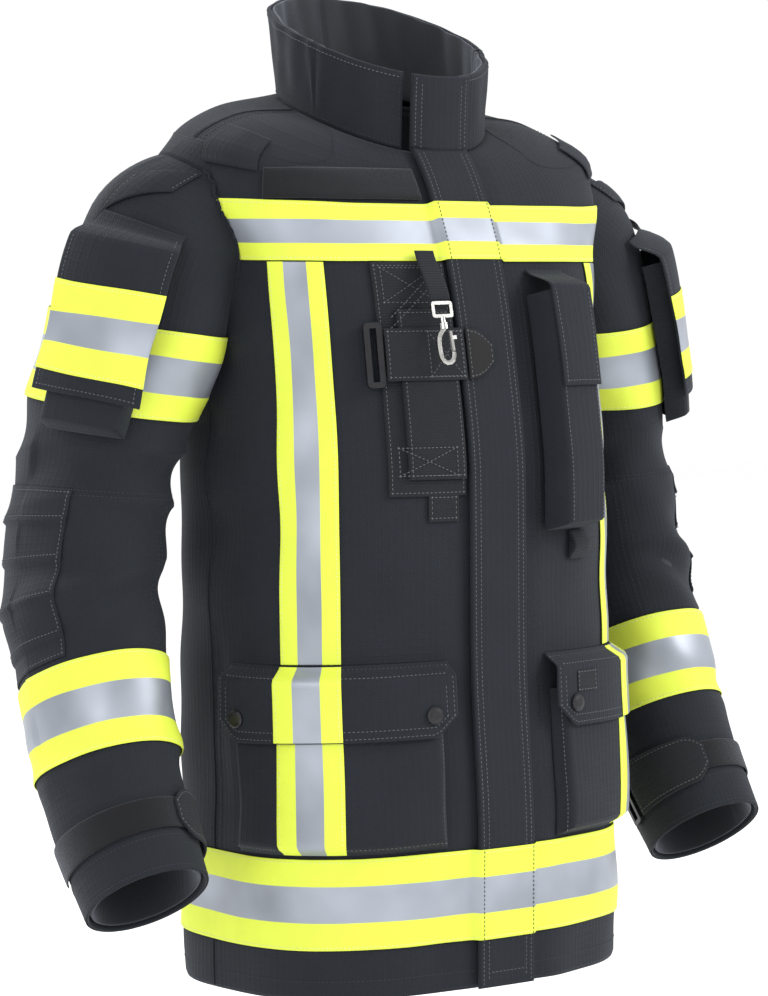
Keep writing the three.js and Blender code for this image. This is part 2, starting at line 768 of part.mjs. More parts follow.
// An open-topped pouch that stands off the cloth by its depth.
function pouch(skin, across, up, depth, wallAcross) {
  const [aFrom, aTo, aSteps] = across;
  const [bFrom, bTo, bSteps] = up;
  const outerLift = layerGap + depth;
  const shell = sheet(skin, across, up, layerGap, outerLift);
  const openAbove = 12;
  const space = sheet(
    skin,
    [aFrom + wallAcross, aTo - wallAcross, aSteps],
    [bFrom + pocketWall, bTo + openAbove, bSteps],
    layerGap + pocketWall,
    outerLift - pocketWall,
  );
  return without(shell, solidOf(space));
}

// A flap that leaves the cloth at its top edge and falls over what is under it.
function drapedFlap(skin, across, bottom, top, standOff, fall, steps) {
  const height = top - Math.min(bottom(across[0]), bottom((across[0] + across[1]) / 2));
  const straight = 1 - fall / height;
  const bend = [0.25, 0.5, 0.75, 1].map((share) => straight + (1 - straight) * share);
  const rows = [...evenShares(steps).map((share) => share * straight), ...bend];
  const inner = (a, b) => {
    const share = THREE.MathUtils.smoothstep(top - b, 0, fall);
    return layerGap + standOff * share;
  };
  const outer = (a, b) => inner(a, b) + flapThickness;
  return sheet(skin, across, [bottom, top, rows], inner, outer);
}

const flapFall = 12;

function makeHipPockets() {
  for (const [name, side] of sides) {
    const flapOuter = hipFlapInner + hipFlapWidth;
    const pocketEdges = [hipFlapInner + hipPocketSideInset, flapOuter - hipPocketSideInset];
    const across = [...onSide(side, ...pocketEdges), 14];
    const pocketTop = hipFlapTop - hipPocketBelowFlapTop;
    const up = [hemTrimRise + wideTrim + 3, pocketTop, 3];
    const pocket = pouch(body, across, up, hipPocketDepth, pocketWall);
    add(`hip_pocket_${name}`, pocket, finishes.shell);

    const flapAcross = [...onSide(side, hipFlapInner, flapOuter), 12];
    const chamfer = 18;
    const cut = (a) => {
      const fromEnd = Math.min(Math.abs(a) - hipFlapInner, flapOuter - Math.abs(a));
      return Math.max(0, chamfer - fromEnd);
    };
    const bottom = (a) => hipFlapTop - hipFlapHeight + cut(a);
    const standOff = hipPocketDepth + 3 * layerGap;
    const flap = drapedFlap(body, flapAcross, bottom, hipFlapTop, standOff, flapFall, 2);
    add(`hip_flap_${name}`, flap, finishes.shell);

    const studAlong = [hipFlapInner + studInset, flapOuter - studInset];
    for (const [end, along] of [
      ["inner", studAlong[0]],
      ["outer", studAlong[1]],
    ]) {
      const lift = layerGap + standOff + flapThickness + 0.7;
      const seat = seatOn(body, side * along, hipFlapTop - hipFlapHeight + 19, lift);
      add(`hip_snap_${end}_${name}`, snapCap(seat), finishes.blackMetal);
    }
  }
}

// A domed snap cap, standing on its seat.
function snapCap(seat) {
  const profile = [[0, 0], [studRadius, 0], [studRadius, 1.2]];
  profile.push([studRadius * 0.84, studHeight - 0.6]);
  profile.push([studRadius * 0.45, studHeight], [0, studHeight]);
  const cap = new THREE.LatheGeometry(
    profile.map(([r, h]) => new THREE.Vector2(r, h)),
    12,
  );
  return cap.rotateX(Math.PI / 2).applyMatrix4(seat);
}

function makeRadioPocket() {
  const across = [radioPocketInner, radioPocketInner + radioPocketWidth, 4];
  const low = radioPocketTop - radioPocketHeight;
  const up = [low, radioPocketTop - 6, 6];
  const pocket = pouch(body, across, up, radioPocketDepth, pocketWall);
  add("radio_pocket", pocket, finishes.shell);

  const middle = radioPocketInner + radioPocketWidth / 2;
  const flapAcross = [middle - radioFlapWidth / 2, middle + radioFlapWidth / 2, 3];
  const flapTop = radioPocketTop + 16;
  const standOff = radioPocketDepth + 2 * layerGap;
  const bottom = () => flapTop - radioFlapHeight;
  const flap = drapedFlap(body, flapAcross, bottom, flapTop, standOff, 20, 4);
  add("radio_flap", flap, finishes.shell);

  const loopLow = low - 26;
  const loopAcross = [radioPocketInner + radioPocketWidth - 22, radioPocketInner + radioPocketWidth, 1];
  const loop = sheet(body, loopAcross, [loopLow, low - 1.5, 3], layerGap, layerGap + 9);
  add("radio_cord_loop", loop, finishes.webbing);
}

function makeSleevePockets() {
  const halfTurn = (sleevePocketWidth / 2 / ((bicepsHalf + bicepsDepth) / 2)) * (180 / Math.PI);
  const low = sleevePocketAngle - halfTurn;
  const high = sleevePocketAngle + halfTurn;
  for (const [name, side] of sides) {
    const skin = sleeve(side);
    const bottom = sleevePocketTop - sleevePocketHeight;
    const wallTurn = (pocketWall / bicepsHalf) * (180 / Math.PI);
    const raised = trimCloth + 2 * layerGap;
    const lifts = (lift) => ({ ...skin, face: (a, b) => lifted(skin, a, b, lift) });
    const overTrim = lifts(raised);
    const pocketTop = sleevePocketTop - 8;
    const up = [bottom, pocketTop, 5];
    const pocket = pouch(overTrim, [low, high, 5], up, sleevePocketDepth, wallTurn);
    add(`sleeve_pocket_${name}`, pocket, finishes.shell);

    const flapTop = sleevePocketTop + 12;
    const across = [low - 2, high + 2, 5];
    const standOff = sleevePocketDepth + 2 * layerGap;
    const flapBottom = () => flapTop - sleeveFlapHeight;
    const flap = drapedFlap(overTrim, across, flapBottom, flapTop, standOff, 17, 5);
    add(`sleeve_flap_${name}`, flap, finishes.shell);
  }
}

// ---- Holder on the wearer's right chest, with the snap hook ----
function makeHolder() {
  const far = -(holderInner + holderWidth);
  const nearFlap = -(stormFlapRight + 2);
  const low = holderTop - holderHeight;
  const panelOuter = layerGap + holderDepth;
  const panel = sheet(body, [far, nearFlap, 4], [low, holderTop, 10], layerGap, panelOuter);
  const loopAcross = [far + 34, far + 62, 2];
  const loop = sheet(body, loopAcross, [low - 20, low + 1, 2], layerGap, panelOuter);
  add("holder_panel", joined(panel, loop), finishes.webbing);

  const pouchAcross = [far + 16, nearFlap - 2, 3];
  const pouchDepth = flapFace - panelOuter;
  const onPanel = { ...body, face: (a, b) => lifted(body, a, b, panelOuter - layerGap + 0.6) };
  const sleeveUp = [low + 14, holderStrapMiddle + holderStrapHeight / 2 + 16, 6];
  const pocket = pouch(onPanel, pouchAcross, sleeveUp, pouchDepth, pocketWall);
  add("holder_pouch", pocket, finishes.shell);

  const strapLow = holderStrapMiddle - holderStrapHeight / 2;
  const strapHigh = holderStrapMiddle + holderStrapHeight / 2;
  const strapInner = flapFace + 2 * layerGap;
  const strapOuter = strapInner + holderStrapThickness;
  const tabStart = -stormFlapRight + 4;
  const strap = sheet(body, [far + 3, tabStart - 1, 5], [strapLow, strapHigh, 3], strapInner, strapOuter);
  add("holder_strap", strap, finishes.webbing);

  const tabEnd = 16;
  const tabHalf = holderStrapHeight / 2;
  const tabMiddle = (tabStart + tabEnd) / 2;
  const round = (a) => {
    if (a < tabMiddle) return tabHalf;
    const share = (a - tabMiddle) / (tabEnd - tabMiddle);
    return tabHalf * (1 - 0.6 * share * share);
  };
  const tabUp = [(a) => holderStrapMiddle - round(a), (a) => holderStrapMiddle + round(a), 3];
  const tab = sheet(body, [tabStart, tabEnd, 5], tabUp, strapInner, strapOuter);
  add("holder_tab", tab, finishes.leather);

  const ringSeat = seatOn(body, far - 5.5, holderStrapMiddle, panelOuter + holderRingWire + 0.6);
  const ringUp = holderStrapHeight / 2 + holderRingWire + 1;
  add("holder_ring", ringLoop(5.2, ringUp, holderRingWire, ringSeat), finishes.plastic);
  makeSnapHook(strapOuter, strapHigh);
}

function makeSnapHook(strapFace, strapHigh) {
  const along = -52;
  const axisLift = strapFace + hookStandOff;
  const top = strapHigh + 12;
  const seat = seatOn(body, along, top, axisLift);
  // The webbing that holds the eye, from the panel out to the eye's bar.
  const webHalf = 9;
  const [webLow, webHigh] = [top + 8, top + 50];
  const webThickness = 2;
  const webInner = (a, b) => {
    const share = THREE.MathUtils.smoothstep(webHigh - b, 0, webHigh - webLow);
    return flapFace + 1 + (axisLift - flapFace - 3) * share;
  };
  const webOuter = (a, b) => webInner(a, b) + webThickness;
  const webAcross = [along - webHalf, along + webHalf, 1];
  const web = sheet(body, webAcross, [webLow, webHigh, 4], webInner, webOuter);
  add("hook_webbing", web, finishes.webbing);

  // The eye: a rounded frame under the webbing, with a short neck that the hook turns on.
  const eyeFrame = ringLoop(8.4, 5.4, hookWire / 2 + 0.3, new THREE.Matrix4());
  const neck = new THREE.CylinderGeometry(2.4, 2.4, 5, 12).translate(0, -8.4, 0);
  const eye = joined(eyeFrame, neck);
  add("hook_eye", eye.applyMatrix4(seat), finishes.nickel);

  // The hook: a collar under the neck, then a bow open on one side, closed by the gate.
  const collar = new THREE.CylinderGeometry(3.6, 3.6, 5, 14).translate(0, -13.8, 0);
  const bowTop = -15.5;
  const bowLow = bowTop - hookLength + 8;
  const bow = new THREE.CatmullRomCurve3(
    [
      new THREE.Vector3(0, bowTop, 0),
      new THREE.Vector3(-hookHalfWidth + 4, bowTop - 5, 0),
      new THREE.Vector3(-hookHalfWidth + hookWire, bowTop - 11, 0),
      new THREE.Vector3(-hookHalfWidth + 3.6, bowLow - 4, 0),
      new THREE.Vector3(0, bowLow - 7, 0),
      new THREE.Vector3(hookHalfWidth - 3.6, bowLow - 4, 0),
      new THREE.Vector3(hookHalfWidth - hookWire, bowLow + 2, 0),
    ],
    false,
    "centripetal",
  );
  const hook = joined(collar, wire(bow, hookWire, 14, 6));
  add("hook_body", hook.applyMatrix4(seat), finishes.nickel);

  const gateTop = new THREE.Vector3(5.4, bowTop - 2.6, 0);
  const gateLow = new THREE.Vector3(hookHalfWidth - hookWire, bowLow + 3, 0);
  const gateBar = wire(new THREE.LineCurve3(gateTop, gateLow), hookWire * 0.8, 1);
  const lever = new THREE.BoxGeometry(4, 3, 3.4).translate(hookHalfWidth - 0.5, bowTop - 8, 0);
  add("hook_gate", joined(gateBar, lever).applyMatrix4(seat), finishes.nickel);
}

// ---- Name patch: flat facets, so that its middle one is a true flat face ----
function makeNamePatch() {
  const low = chestTop + 2;
  const middleAlong = -(stormFlapRight + 8 + namePatchWidth / 2);
  const half = namePatchWidth / 2;
  const level = low + namePatchHeight / 2;
  const facets = 5;
  const patchLift = 3; // clears the chords' sag on the round of the chest
  const onBody = (along, height, lift) => lifted(body, along, ringAtLevel(along, height), lift);
  const stops = evenShares(facets).map((share) => (2 * share - 1) * half);
  const profile = stops.map((stop) => onBody(middleAlong + stop, level, patchLift));
  const upWay = onBody(middleAlong, low + namePatchHeight, 0)
    .sub(onBody(middleAlong, low, 0))
    .normalize();
  const outWay = onBody(middleAlong, level, 1).sub(onBody(middleAlong, level, 0));
  const vertices = [];
  for (const p of profile) {
    for (const [v, w] of [[-0.5, 0], [0.5, 0], [0.5, 1], [-0.5, 1]]) {
      const corner = p.clone().addScaledVector(upWay, v * namePatchHeight);
      vertices.push(corner.addScaledVector(outWay, w * namePatchThickness));
    }
  }
  const triangles = [];
  const count = profile.length;
  for (let i = 0; i < count - 1; i += 1) {
    for (let j = 0; j < 4; j += 1) {
      const [p, q] = [i * 4 + j, i * 4 + ((j + 1) % 4)];
      triangles.push(p, q, q + 4, p, q + 4, p + 4);
    }
  }
  const last = (count - 1) * 4;
  triangles.push(0, 2, 1, 0, 3, 2, last, last + 1, last + 2, last, last + 2, last + 3);
  add("name_patch", geometryOf(vertices, triangles), finishes.loopTape);
}

// ---- Shoulder tabs ----
function makeShoulderTabs() {
  for (const [name, side] of sides) {
    const middle = 0.8 * sideSeam;
    const half = tabLength / 2;
    const up = [frontLength - 33, frontLength - 33 + tabWidth * 0.4, 5];
    const across = onSide(side, middle - half, middle + half);
    const tab = sheet(body, [...across, 6], up, 2 * layerGap, 2 * layerGap + 2.4);
    add(`shoulder_tab_${name}`, without(tab, armholes[side > 0 ? 1 : 0]), finishes.shell);
  }
}

makeShell();
makeCollar();
makeClosure();
makeTrims();
makeSleeves();
makeHipPockets();
makeRadioPocket();
makeSleevePockets();
makeHolder();
makeNamePatch();
makeShoulderTabs();

export default coat;
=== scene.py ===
"""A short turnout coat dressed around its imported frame: cloth, reflective trims, pockets and fittings.

Lengths in the classes are millimetres above the hem or along the cloth, and meshes are in metres.
"""

import logging
import math
from collections.abc import Callable, Sequence
from dataclasses import dataclass, field
from enum import Enum

import bpy
import numpy as np
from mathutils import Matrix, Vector
from mathutils.bvhtree import BVHTree


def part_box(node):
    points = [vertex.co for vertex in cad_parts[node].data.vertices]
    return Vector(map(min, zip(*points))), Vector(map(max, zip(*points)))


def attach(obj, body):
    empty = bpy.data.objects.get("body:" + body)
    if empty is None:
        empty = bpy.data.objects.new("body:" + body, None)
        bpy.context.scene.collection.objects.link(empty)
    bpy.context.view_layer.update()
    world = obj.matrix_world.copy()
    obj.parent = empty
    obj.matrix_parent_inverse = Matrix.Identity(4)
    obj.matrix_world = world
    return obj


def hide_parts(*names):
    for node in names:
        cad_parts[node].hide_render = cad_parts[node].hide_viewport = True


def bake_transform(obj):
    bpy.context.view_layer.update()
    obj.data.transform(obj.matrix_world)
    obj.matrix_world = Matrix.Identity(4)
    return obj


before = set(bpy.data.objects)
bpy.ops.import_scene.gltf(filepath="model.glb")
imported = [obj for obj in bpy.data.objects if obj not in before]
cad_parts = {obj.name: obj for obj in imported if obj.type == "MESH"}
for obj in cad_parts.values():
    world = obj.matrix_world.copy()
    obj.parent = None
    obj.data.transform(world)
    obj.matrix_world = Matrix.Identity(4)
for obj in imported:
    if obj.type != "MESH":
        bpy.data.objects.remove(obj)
log = logging.getLogger("turnout_coat")

Array = np.ndarray
Edge = float | Callable[[Array], Array]
Lift = float | Callable[[Array, Array], Array]

MM = 0.001
# ---- Sizes shared with the frame, in millimetres ----
FRONT_LENGTH = 689.0
NAPE_RISE = 61.0
NECK_HEIGHT = FRONT_LENGTH + NAPE_RISE
COLLAR_TOP = FRONT_LENGTH + 65.0
CHEST_LOW, CHEST_HIGH = 598.0, 645.0
HEM_TRIM_LOW, HEM_TRIM_HIGH = 41.0, 116.0
HIP_FLAP_TOP = 272.0
ELBOW, CUFF, SHOULDER_START = 412.0, 88.0, 655.0
FLAP_FACE = 7.1
STORM_RIGHT, STORM_LEFT = 29.0, 27.0
FRONT_TRIM = 165.0
ARMHOLE_LOWEST = -330.0

BODY_RINGS = [
    [0, 187, 155, 134, 2, -4, -4, 2.5],
    [116, 186, 155, 136, 0, -4, -4, 2.5],
    [272, 185, 144, 141, -6, -3, -2, 2.5],
    [420, 183, 142, 144, -12, 0, 0, 2.5],
    [516, 179, 128, 144, -18, 0, 0, 2.6],
    [598, 183, 108, 136, -22, 0, 4, 2.8],
    [645, 198, 88, 132, -22, 1, 10, 2.8],
    [660, 195, 80, 126, -22, 14, 40, 2.6],
    [674, 150, 71, 120, -24, 18, 58, 2.4],
    [689, 89, 60, 110, -24, 8, 61, 2.1],
]
COLLAR_RINGS = [
    BODY_RINGS[-1],
    [721.5, 91, 61, 116, -26, 5, 71.2, 2.1],
    [754, 93, 63, 122, -28, 2, 78, 2.1],
]
SLEEVE_RINGS = [
    [88, 291, 68, 50, 55],
    [150, 291, 24, 55, 60],
    [230, 287, -16, 58, 68],
    [340, 277, -56, 62, 76],
    [412, 263, -62, 63, 84],
    [520, 235, -54, 66, 88],
    [615, 200, -42, 77, 74],
    [655, 145, -34, 67, 62],
]
RING_LEAN = 0.4


class SmoothTable:
    """A curve through points that never overshoots between two of them."""

    def __init__(self, keys: Sequence[float], values: Sequence[float]) -> None:
        """Sets the slopes at the points.

        Args:
            keys: Rising places of the points.
            values: The value at each point.
        """
        self.keys = np.asarray(keys, float)
        self.values = np.asarray(values, float)
        slopes = np.diff(self.values) / np.diff(self.keys)
        before, after = slopes[:-1], slopes[1:]
        same_way = before * after > 0
        total = np.where(same_way, before + after, 1.0)
        inside = np.where(same_way, 2 * before * after / total, 0.0)
        self.slopes = np.concatenate([slopes[:1], inside, slopes[-1:]])

    def __call__(self, key: float | Array) -> Array:
        """Returns the curve's value at each key."""
        i = np.clip(np.searchsorted(self.keys, key) - 1, 0, len(self.keys) - 2)
        width = self.keys[i + 1] - self.keys[i]
        t = np.clip((key - self.keys[i]) / width, 0, 1)
        rest = 1 - t
        rise = self.values[i] * (1 + 2 * t) * rest**2 + self.values[i + 1] * t * t * (3 - 2 * t)
        return rise + self.slopes[i] * width * t * rest**2 - self.slopes[i + 1] * width * t * t * rest


def tables_of(rings: list[list[float]]) -> list[SmoothTable]:
    """Returns one table for each column of a list of rings, after the first."""
    keys = [ring[0] for ring in rings]
    return [SmoothTable(keys, [ring[c] for ring in rings]) for c in range(1, len(rings[0]))]


def smoothstep(value: Array | float, low: float, high: float) -> Array:
    """Returns 0 below low, 1 above high and a smooth rise between."""
    t = np.clip((np.asarray(value, float) - low) / (high - low), 0, 1)
    return t * t * (3 - 2 * t)


def bump(value: Array, centre: float, half: float) -> Array:
    """Returns a smooth hill of height 1 around a centre."""
    return np.exp(-(((value - centre) / half) ** 2))


class Skin:
    """A smooth surface that cloth lies on, held as a grid of points and outward normals."""

    def __init__(self, a: Array, b: Array, points: Array, middles: Array, a_mm: float) -> None:
        """Takes the grid and works out its normals.

        Args:
            a: Places round the surface; the last one meets the first.
            b: Heights of the rings.
            points: Points in millimetres, by place round and by height.
            middles: The middle of each ring.
            a_mm: Millimetres of cloth in one unit of a.
        """
        self.a, self.b, self.points, self.middles, self.a_mm = a, b, points, middles, a_mm
        self.normals = self._normals()

    def _normals(self) -> Array:
        """Returns the outward normals of the grid."""
        padded = np.concatenate([self.points[-2:-1], self.points, self.points[1:2]])
        round_way = padded[2:] - padded[:-2]
        up_way = np.gradient(self.points, axis=1)
        normals = np.cross(round_way, up_way)
        normals /= np.linalg.norm(normals, axis=2, keepdims=True)
        inward = ((self.points - self.middles[None]) * normals).sum(axis=2) < 0
        normals[inward] *= -1
        return normals

    def folded(self, relief: Array) -> "Skin":
        """Returns a copy of the skin with a depth of fold added at each grid point."""
        points = self.points + self.normals * relief[..., None]
        return Skin(self.a, self.b, points, self.middles, self.a_mm)

    @staticmethod
    def _cell(knots: Array, value: Array) -> tuple[Array, Array]:
        """Returns the cell that each value is in, and its share of the way across."""
        i = np.clip(np.searchsorted(knots, value, side="right") - 1, 0, len(knots) - 2)
        return i, (value - knots[i]) / (knots[i + 1] - knots[i])

    def at(self, a: Array | float, b: Array | float, lift: Array | float = 0.0) -> Array:
        """Returns points lifted off the skin.

        Args:
            a: Places round the skin.
            b: Heights.
            lift: Distance outwards, in millimetres.

        Returns:
            One point for each place, in millimetres.
        """
        a, b, lift = np.broadcast_arrays(*(np.asarray(v, float) for v in (a, b, lift)))
        start, period = self.a[0], self.a[-1] - self.a[0]
        i, u = self._cell(self.a, start + np.mod(a - start, period))
        j, v = self._cell(self.b, b)
        u, v = u[..., None], v[..., None]

        def mixed(grid: Array) -> Array:
            """Returns the grid's value between its four nearest points."""
            low = grid[i, j] * (1 - u) + grid[i + 1, j] * u
            high = grid[i, j + 1] * (1 - u) + grid[i + 1, j + 1] * u
            return low * (1 - v) + high * v

        normal = mixed(self.normals)
        normal /= np.linalg.norm(normal, axis=-1, keepdims=True)
        return mixed(self.points) + normal * lift[..., None]


def outline(angle: Array, ring: Sequence[float]) -> Array:
    """Returns the outline of a body ring, as points left and forwards, at some angles."""
    half, front, back, middle, square = ring[0], ring[1], ring[2], ring[3], ring[6]
    side, ahead = np.sin(angle), np.cos(angle)
    power = 2 / square
    depth = np.where(ahead > 0, front - middle, back + middle)
    across = half * np.sign(side) * np.abs(side) ** power
    return np.stack([across, middle + depth * np.sign(ahead) * np.abs(ahead) ** power], -1)


def quarter(ring: Sequence[float], start: float, end: float) -> tuple[Array, Array]:
    """Returns angles over a quarter of a ring, and the length of cloth up to each."""
    angles = np.linspace(start, end, 181)
    steps = np.linalg.norm(np.diff(outline(angles, ring), axis=0), axis=1)
    return angles, np.concatenate([[0], np.cumsum(steps)])


def body_ring(up: float) -> list[float]:
    """Returns the body's ring, or the collar's, at a height."""
    return [float(t(up)) for t in (COLLAR_TABLES if up > FRONT_LENGTH else BODY_TABLES)]


BODY_TABLES, COLLAR_TABLES = tables_of(BODY_RINGS), tables_of(COLLAR_RINGS)
SLEEVE_TABLES = tables_of(SLEEVE_RINGS)
SIDE_SEAM = float(quarter(body_ring(HIP_FLAP_TOP), 0, math.pi / 2)[1][-1])
HALF_GIRTH = SIDE_SEAM + float(quarter(body_ring(HIP_FLAP_TOP), math.pi, math.pi / 2)[1][-1])


def body_angles(along: Array, ring: Sequence[float]) -> Array:
    """Returns the angle on a ring for each distance along the cloth.

    Args:
        along: Distances either way from the centre front.
        ring: The ring's sizes.
    """
    front_angles, front_lengths = quarter(ring, 0, math.pi / 2)
    back_angles, back_lengths = quarter(ring, math.pi, math.pi / 2)
    far = np.abs(along)
    share = far / SIDE_SEAM
    stretch = smoothstep(share, 0.12, 0.9)
    ahead = share * (SIDE_SEAM + (front_lengths[-1] - SIDE_SEAM) * stretch)
    behind = (HALF_GIRTH - far) / (HALF_GIRTH - SIDE_SEAM) * back_lengths[-1]
    angle = np.where(
        far <= SIDE_SEAM,
        np.interp(ahead, front_lengths, front_angles),
        np.interp(behind, back_lengths, back_angles),
    )
    return np.sign(along) * angle


def place(x: Array, ahead: Array, z: Array) -> Array:
    """Returns points x to the left, some way ahead of the axis and z above the hem."""
    return np.stack(np.broadcast_arrays(x, -ahead, z - NECK_HEIGHT), -1).astype(float)


def body_skin() -> Skin:
    """Returns the skin of the body and the collar, without folds."""
    along = np.linspace(-HALF_GIRTH, HALF_GIRTH, 541)
    low, high = np.arange(0, 640, 4.0), np.arange(640, FRONT_LENGTH, 0.7)
    up = np.concatenate([low, high, np.linspace(FRONT_LENGTH, COLLAR_TOP, 34)])
    columns = []
    for height in up:
        ring = body_ring(height)
        angle = body_angles(along, ring)
        plan = outline(angle, ring)
        rise = ring[4] * np.sin(angle) ** 2 + ring[5] * (1 - np.cos(angle)) / 2
        columns.append(place(plan[:, 0], plan[:, 1], height + rise))
    middles = place(np.zeros_like(up), np.full_like(up, -20.0), up)
    return Skin(along, up, np.stack(columns, axis=1), middles, 1.0)


def sleeve_centre(side: int, up: Array) -> Array:
    """Returns the middle of a sleeve at each height."""
    out, ahead = SLEEVE_TABLES[0](up), SLEEVE_TABLES[1](up)
    return place(side * out, ahead, up)


def sleeve_skin(side: int) -> Skin:
    """Returns the skin of a sleeve, without folds.

    Args:
        side: -1 for the wearer's right and 1 for the left.
    """
    turn = np.linspace(0, 360, 145)
    up = np.linspace(CUFF, SHOULDER_START, 285)
    high, low = np.minimum(up + 2, SHOULDER_START), np.maximum(up - 2, CUFF)
    run = sleeve_centre(side, high) - sleeve_centre(side, low)
    run[:, 0] *= RING_LEAN
    run /= np.linalg.norm(run, axis=1, keepdims=True)
    out = np.array([side, 0.0, 0.0]) - side * run[:, :1] * run
    out /= np.linalg.norm(out, axis=1, keepdims=True)
    ahead = -side * np.cross(run, out)
    ahead[ahead[:, 1] > 0] *= -1
    half, depth = SLEEVE_TABLES[2](up)[:, None], SLEEVE_TABLES[3](up)[:, None]
    angle = np.radians(turn)[:, None, None]
    centre = sleeve_centre(side, up)
    points = centre + out * half * np.cos(angle) + ahead * depth * np.sin(angle)
    return Skin(turn, up, points, centre, 1.28)


# ---- Folds of the cloth ----


@dataclass(frozen=True)
class Folds:
    """How deep the cloth folds, and where."""

    drape: float = 4.4
    crumple: float = 7.5
    seed: int = 7

    def _waves(self, a: Array, b: Array, longest: float, shortest: float, count: int) -> Array:
        """Returns a soft unevenness made of a few waves.

        Args:
            a: Places round, in millimetres.
            b: Heights, in millimetres.
            longest: The longest wave.
            shortest: The shortest wave.
            count: How many waves.
        """
        rng = np.random.default_rng(self.seed)
        total = np.zeros(np.broadcast(a, b).shape)
        for _ in range(count):
            wave = 2 * math.pi / rng.uniform(shortest, longest)
            way, phase = rng.uniform(0, math.pi), rng.uniform(0, 2 * math.pi)
            total += np.sin(wave * (a * math.cos(way) + b * math.sin(way)) + phase)
        return total / math.sqrt(count)

    def body(self, a: Array, b: Array) -> Array:
        """Returns the folds of the body and collar, in millimetres.

        Args:
            a: Distances along the cloth from the centre front.
            b: Heights.
        """
        far = np.abs(a)
        free = smoothstep(far, 32, 70) * (1 - smoothstep(b, 640, 665))
        calm = 1 - 0.9 * smoothstep(far, 38, 52) * (1 - smoothstep(far, 246, 262)) * bump(b, 232, 62)
        calm *= 1 - 0.85 * bump(far, 75, 34) * smoothstep(b, 360, 400)
        drape = np.sin(a / 27.0 + 0.7 * np.sin(a / 61.0) + b / 190.0) * (1 - smoothstep(b, 60, 420))
        uneven = self._waves(a, b, 210, 70, 12) * 1.5
        pull = (far - 275) * 0.75 - (b - 590) * 0.62
        creases = np.sin(pull / 11.5 + a / 60) * bump(far, 236, 40) * bump(b, 545, 62)
        waist = np.sin((b + 0.28 * a) / 17.0) * bump(far, 262, 60) * bump(b, 380, 90)
        collar = self._waves(a * 1.6, b, 120, 60, 6) * smoothstep(b, 692, 720) * 0.9
        total = self.drape * drape * 0.5 + uneven + 4.2 * creases + 2.6 * waist
        return total * free * calm + collar * smoothstep(far, 36, 60)

    def sleeve(self, turn: Array, up: Array, side: int) -> Array:
        """Returns the folds of a sleeve, in millimetres.

        Args:
            turn: Degrees from straight outwards, round to the front.
            up: Heights.
            side: -1 for the wearer's right and 1 for the left.
        """
        t = np.radians(turn)
        front, back = np.sin(t), -np.sin(t)
        inner = (1 - np.cos(t)) / 2
        bend = up - 15 * front + 4 * side * np.cos(2 * t)
        elbow = -np.abs(np.sin(bend / 15.5)) ** 0.7 * bump(up, 425, 58) * (0.35 + 0.65 * inner)
        lean = up + 26 * np.cos(t + 0.5) + 7 * np.sin(2 * t + side)
        forearm = np.sin(lean / 12.2) * bump(up, 318, 46) * (0.45 + 0.55 * np.abs(np.cos(t - 0.9)))
        wrist = np.sin((up + 12 * np.sin(t + 1.1)) / 9.0) * bump(up, 192, 17) * 0.35
        arm = np.sin((up * 0.55 + turn * 0.9) / 15.0) * bump(up, 560, 55) * (0.2 + 0.8 * inner)
        calm = 1 - 0.85 * bump(turn, 38, 34) * smoothstep(up, 435, 465)
        uneven = self._waves(turn * 1.28, up + 40 * side, 150, 50, 12) * 1.4
        uneven *= smoothstep(up, 150, 200)
        closing = smoothstep(up, 84, 100)
        folds = self.crumple * (1.1 * elbow + 0.8 * forearm + wrist + 0.6 * arm)
        return (folds * calm + uneven * calm + 1.2 * back * bump(up, 440, 40)) * closing


FOLDS = Folds()
BODY_PLAIN = body_skin()
BODY = BODY_PLAIN.folded(FOLDS.body(BODY_PLAIN.a[:, None], BODY_PLAIN.b[None]))
SLEEVE_PLAIN = {side: sleeve_skin(side) for side in (-1, 1)}
SLEEVES = {
    side: skin.folded(FOLDS.sleeve(skin.a[:, None], skin.b[None], side))
    for side, skin in SLEEVE_PLAIN.items()
}
SIDES = (("right", -1), ("left", 1))


def side_span(side: int, near: float, far: float) -> tuple[float, float]:
    """Returns a span on one side of the centre front, from low to high."""
    return (near, far) if side > 0 else (-far, -near)


# ---- Telling the sleeves and the body apart ----


def tree_of(skin: Skin, top: float) -> BVHTree:
    """Returns a search tree of a skin up to a height."""
    rows = int(np.searchsorted(skin.b, top))
    points = skin.points[:-1, :rows]
    columns = len(points)
    ids = np.arange(columns * rows).reshape(columns, rows)
    right = np.roll(ids, -1, axis=0)
    quads = np.stack([ids[:, :-1], right[:, :-1], right[:, 1:], ids[:, 1:]], -1).reshape(-1, 4)
    return BVHTree.FromPolygons(points.reshape(-1, 3).tolist(), quads.tolist())


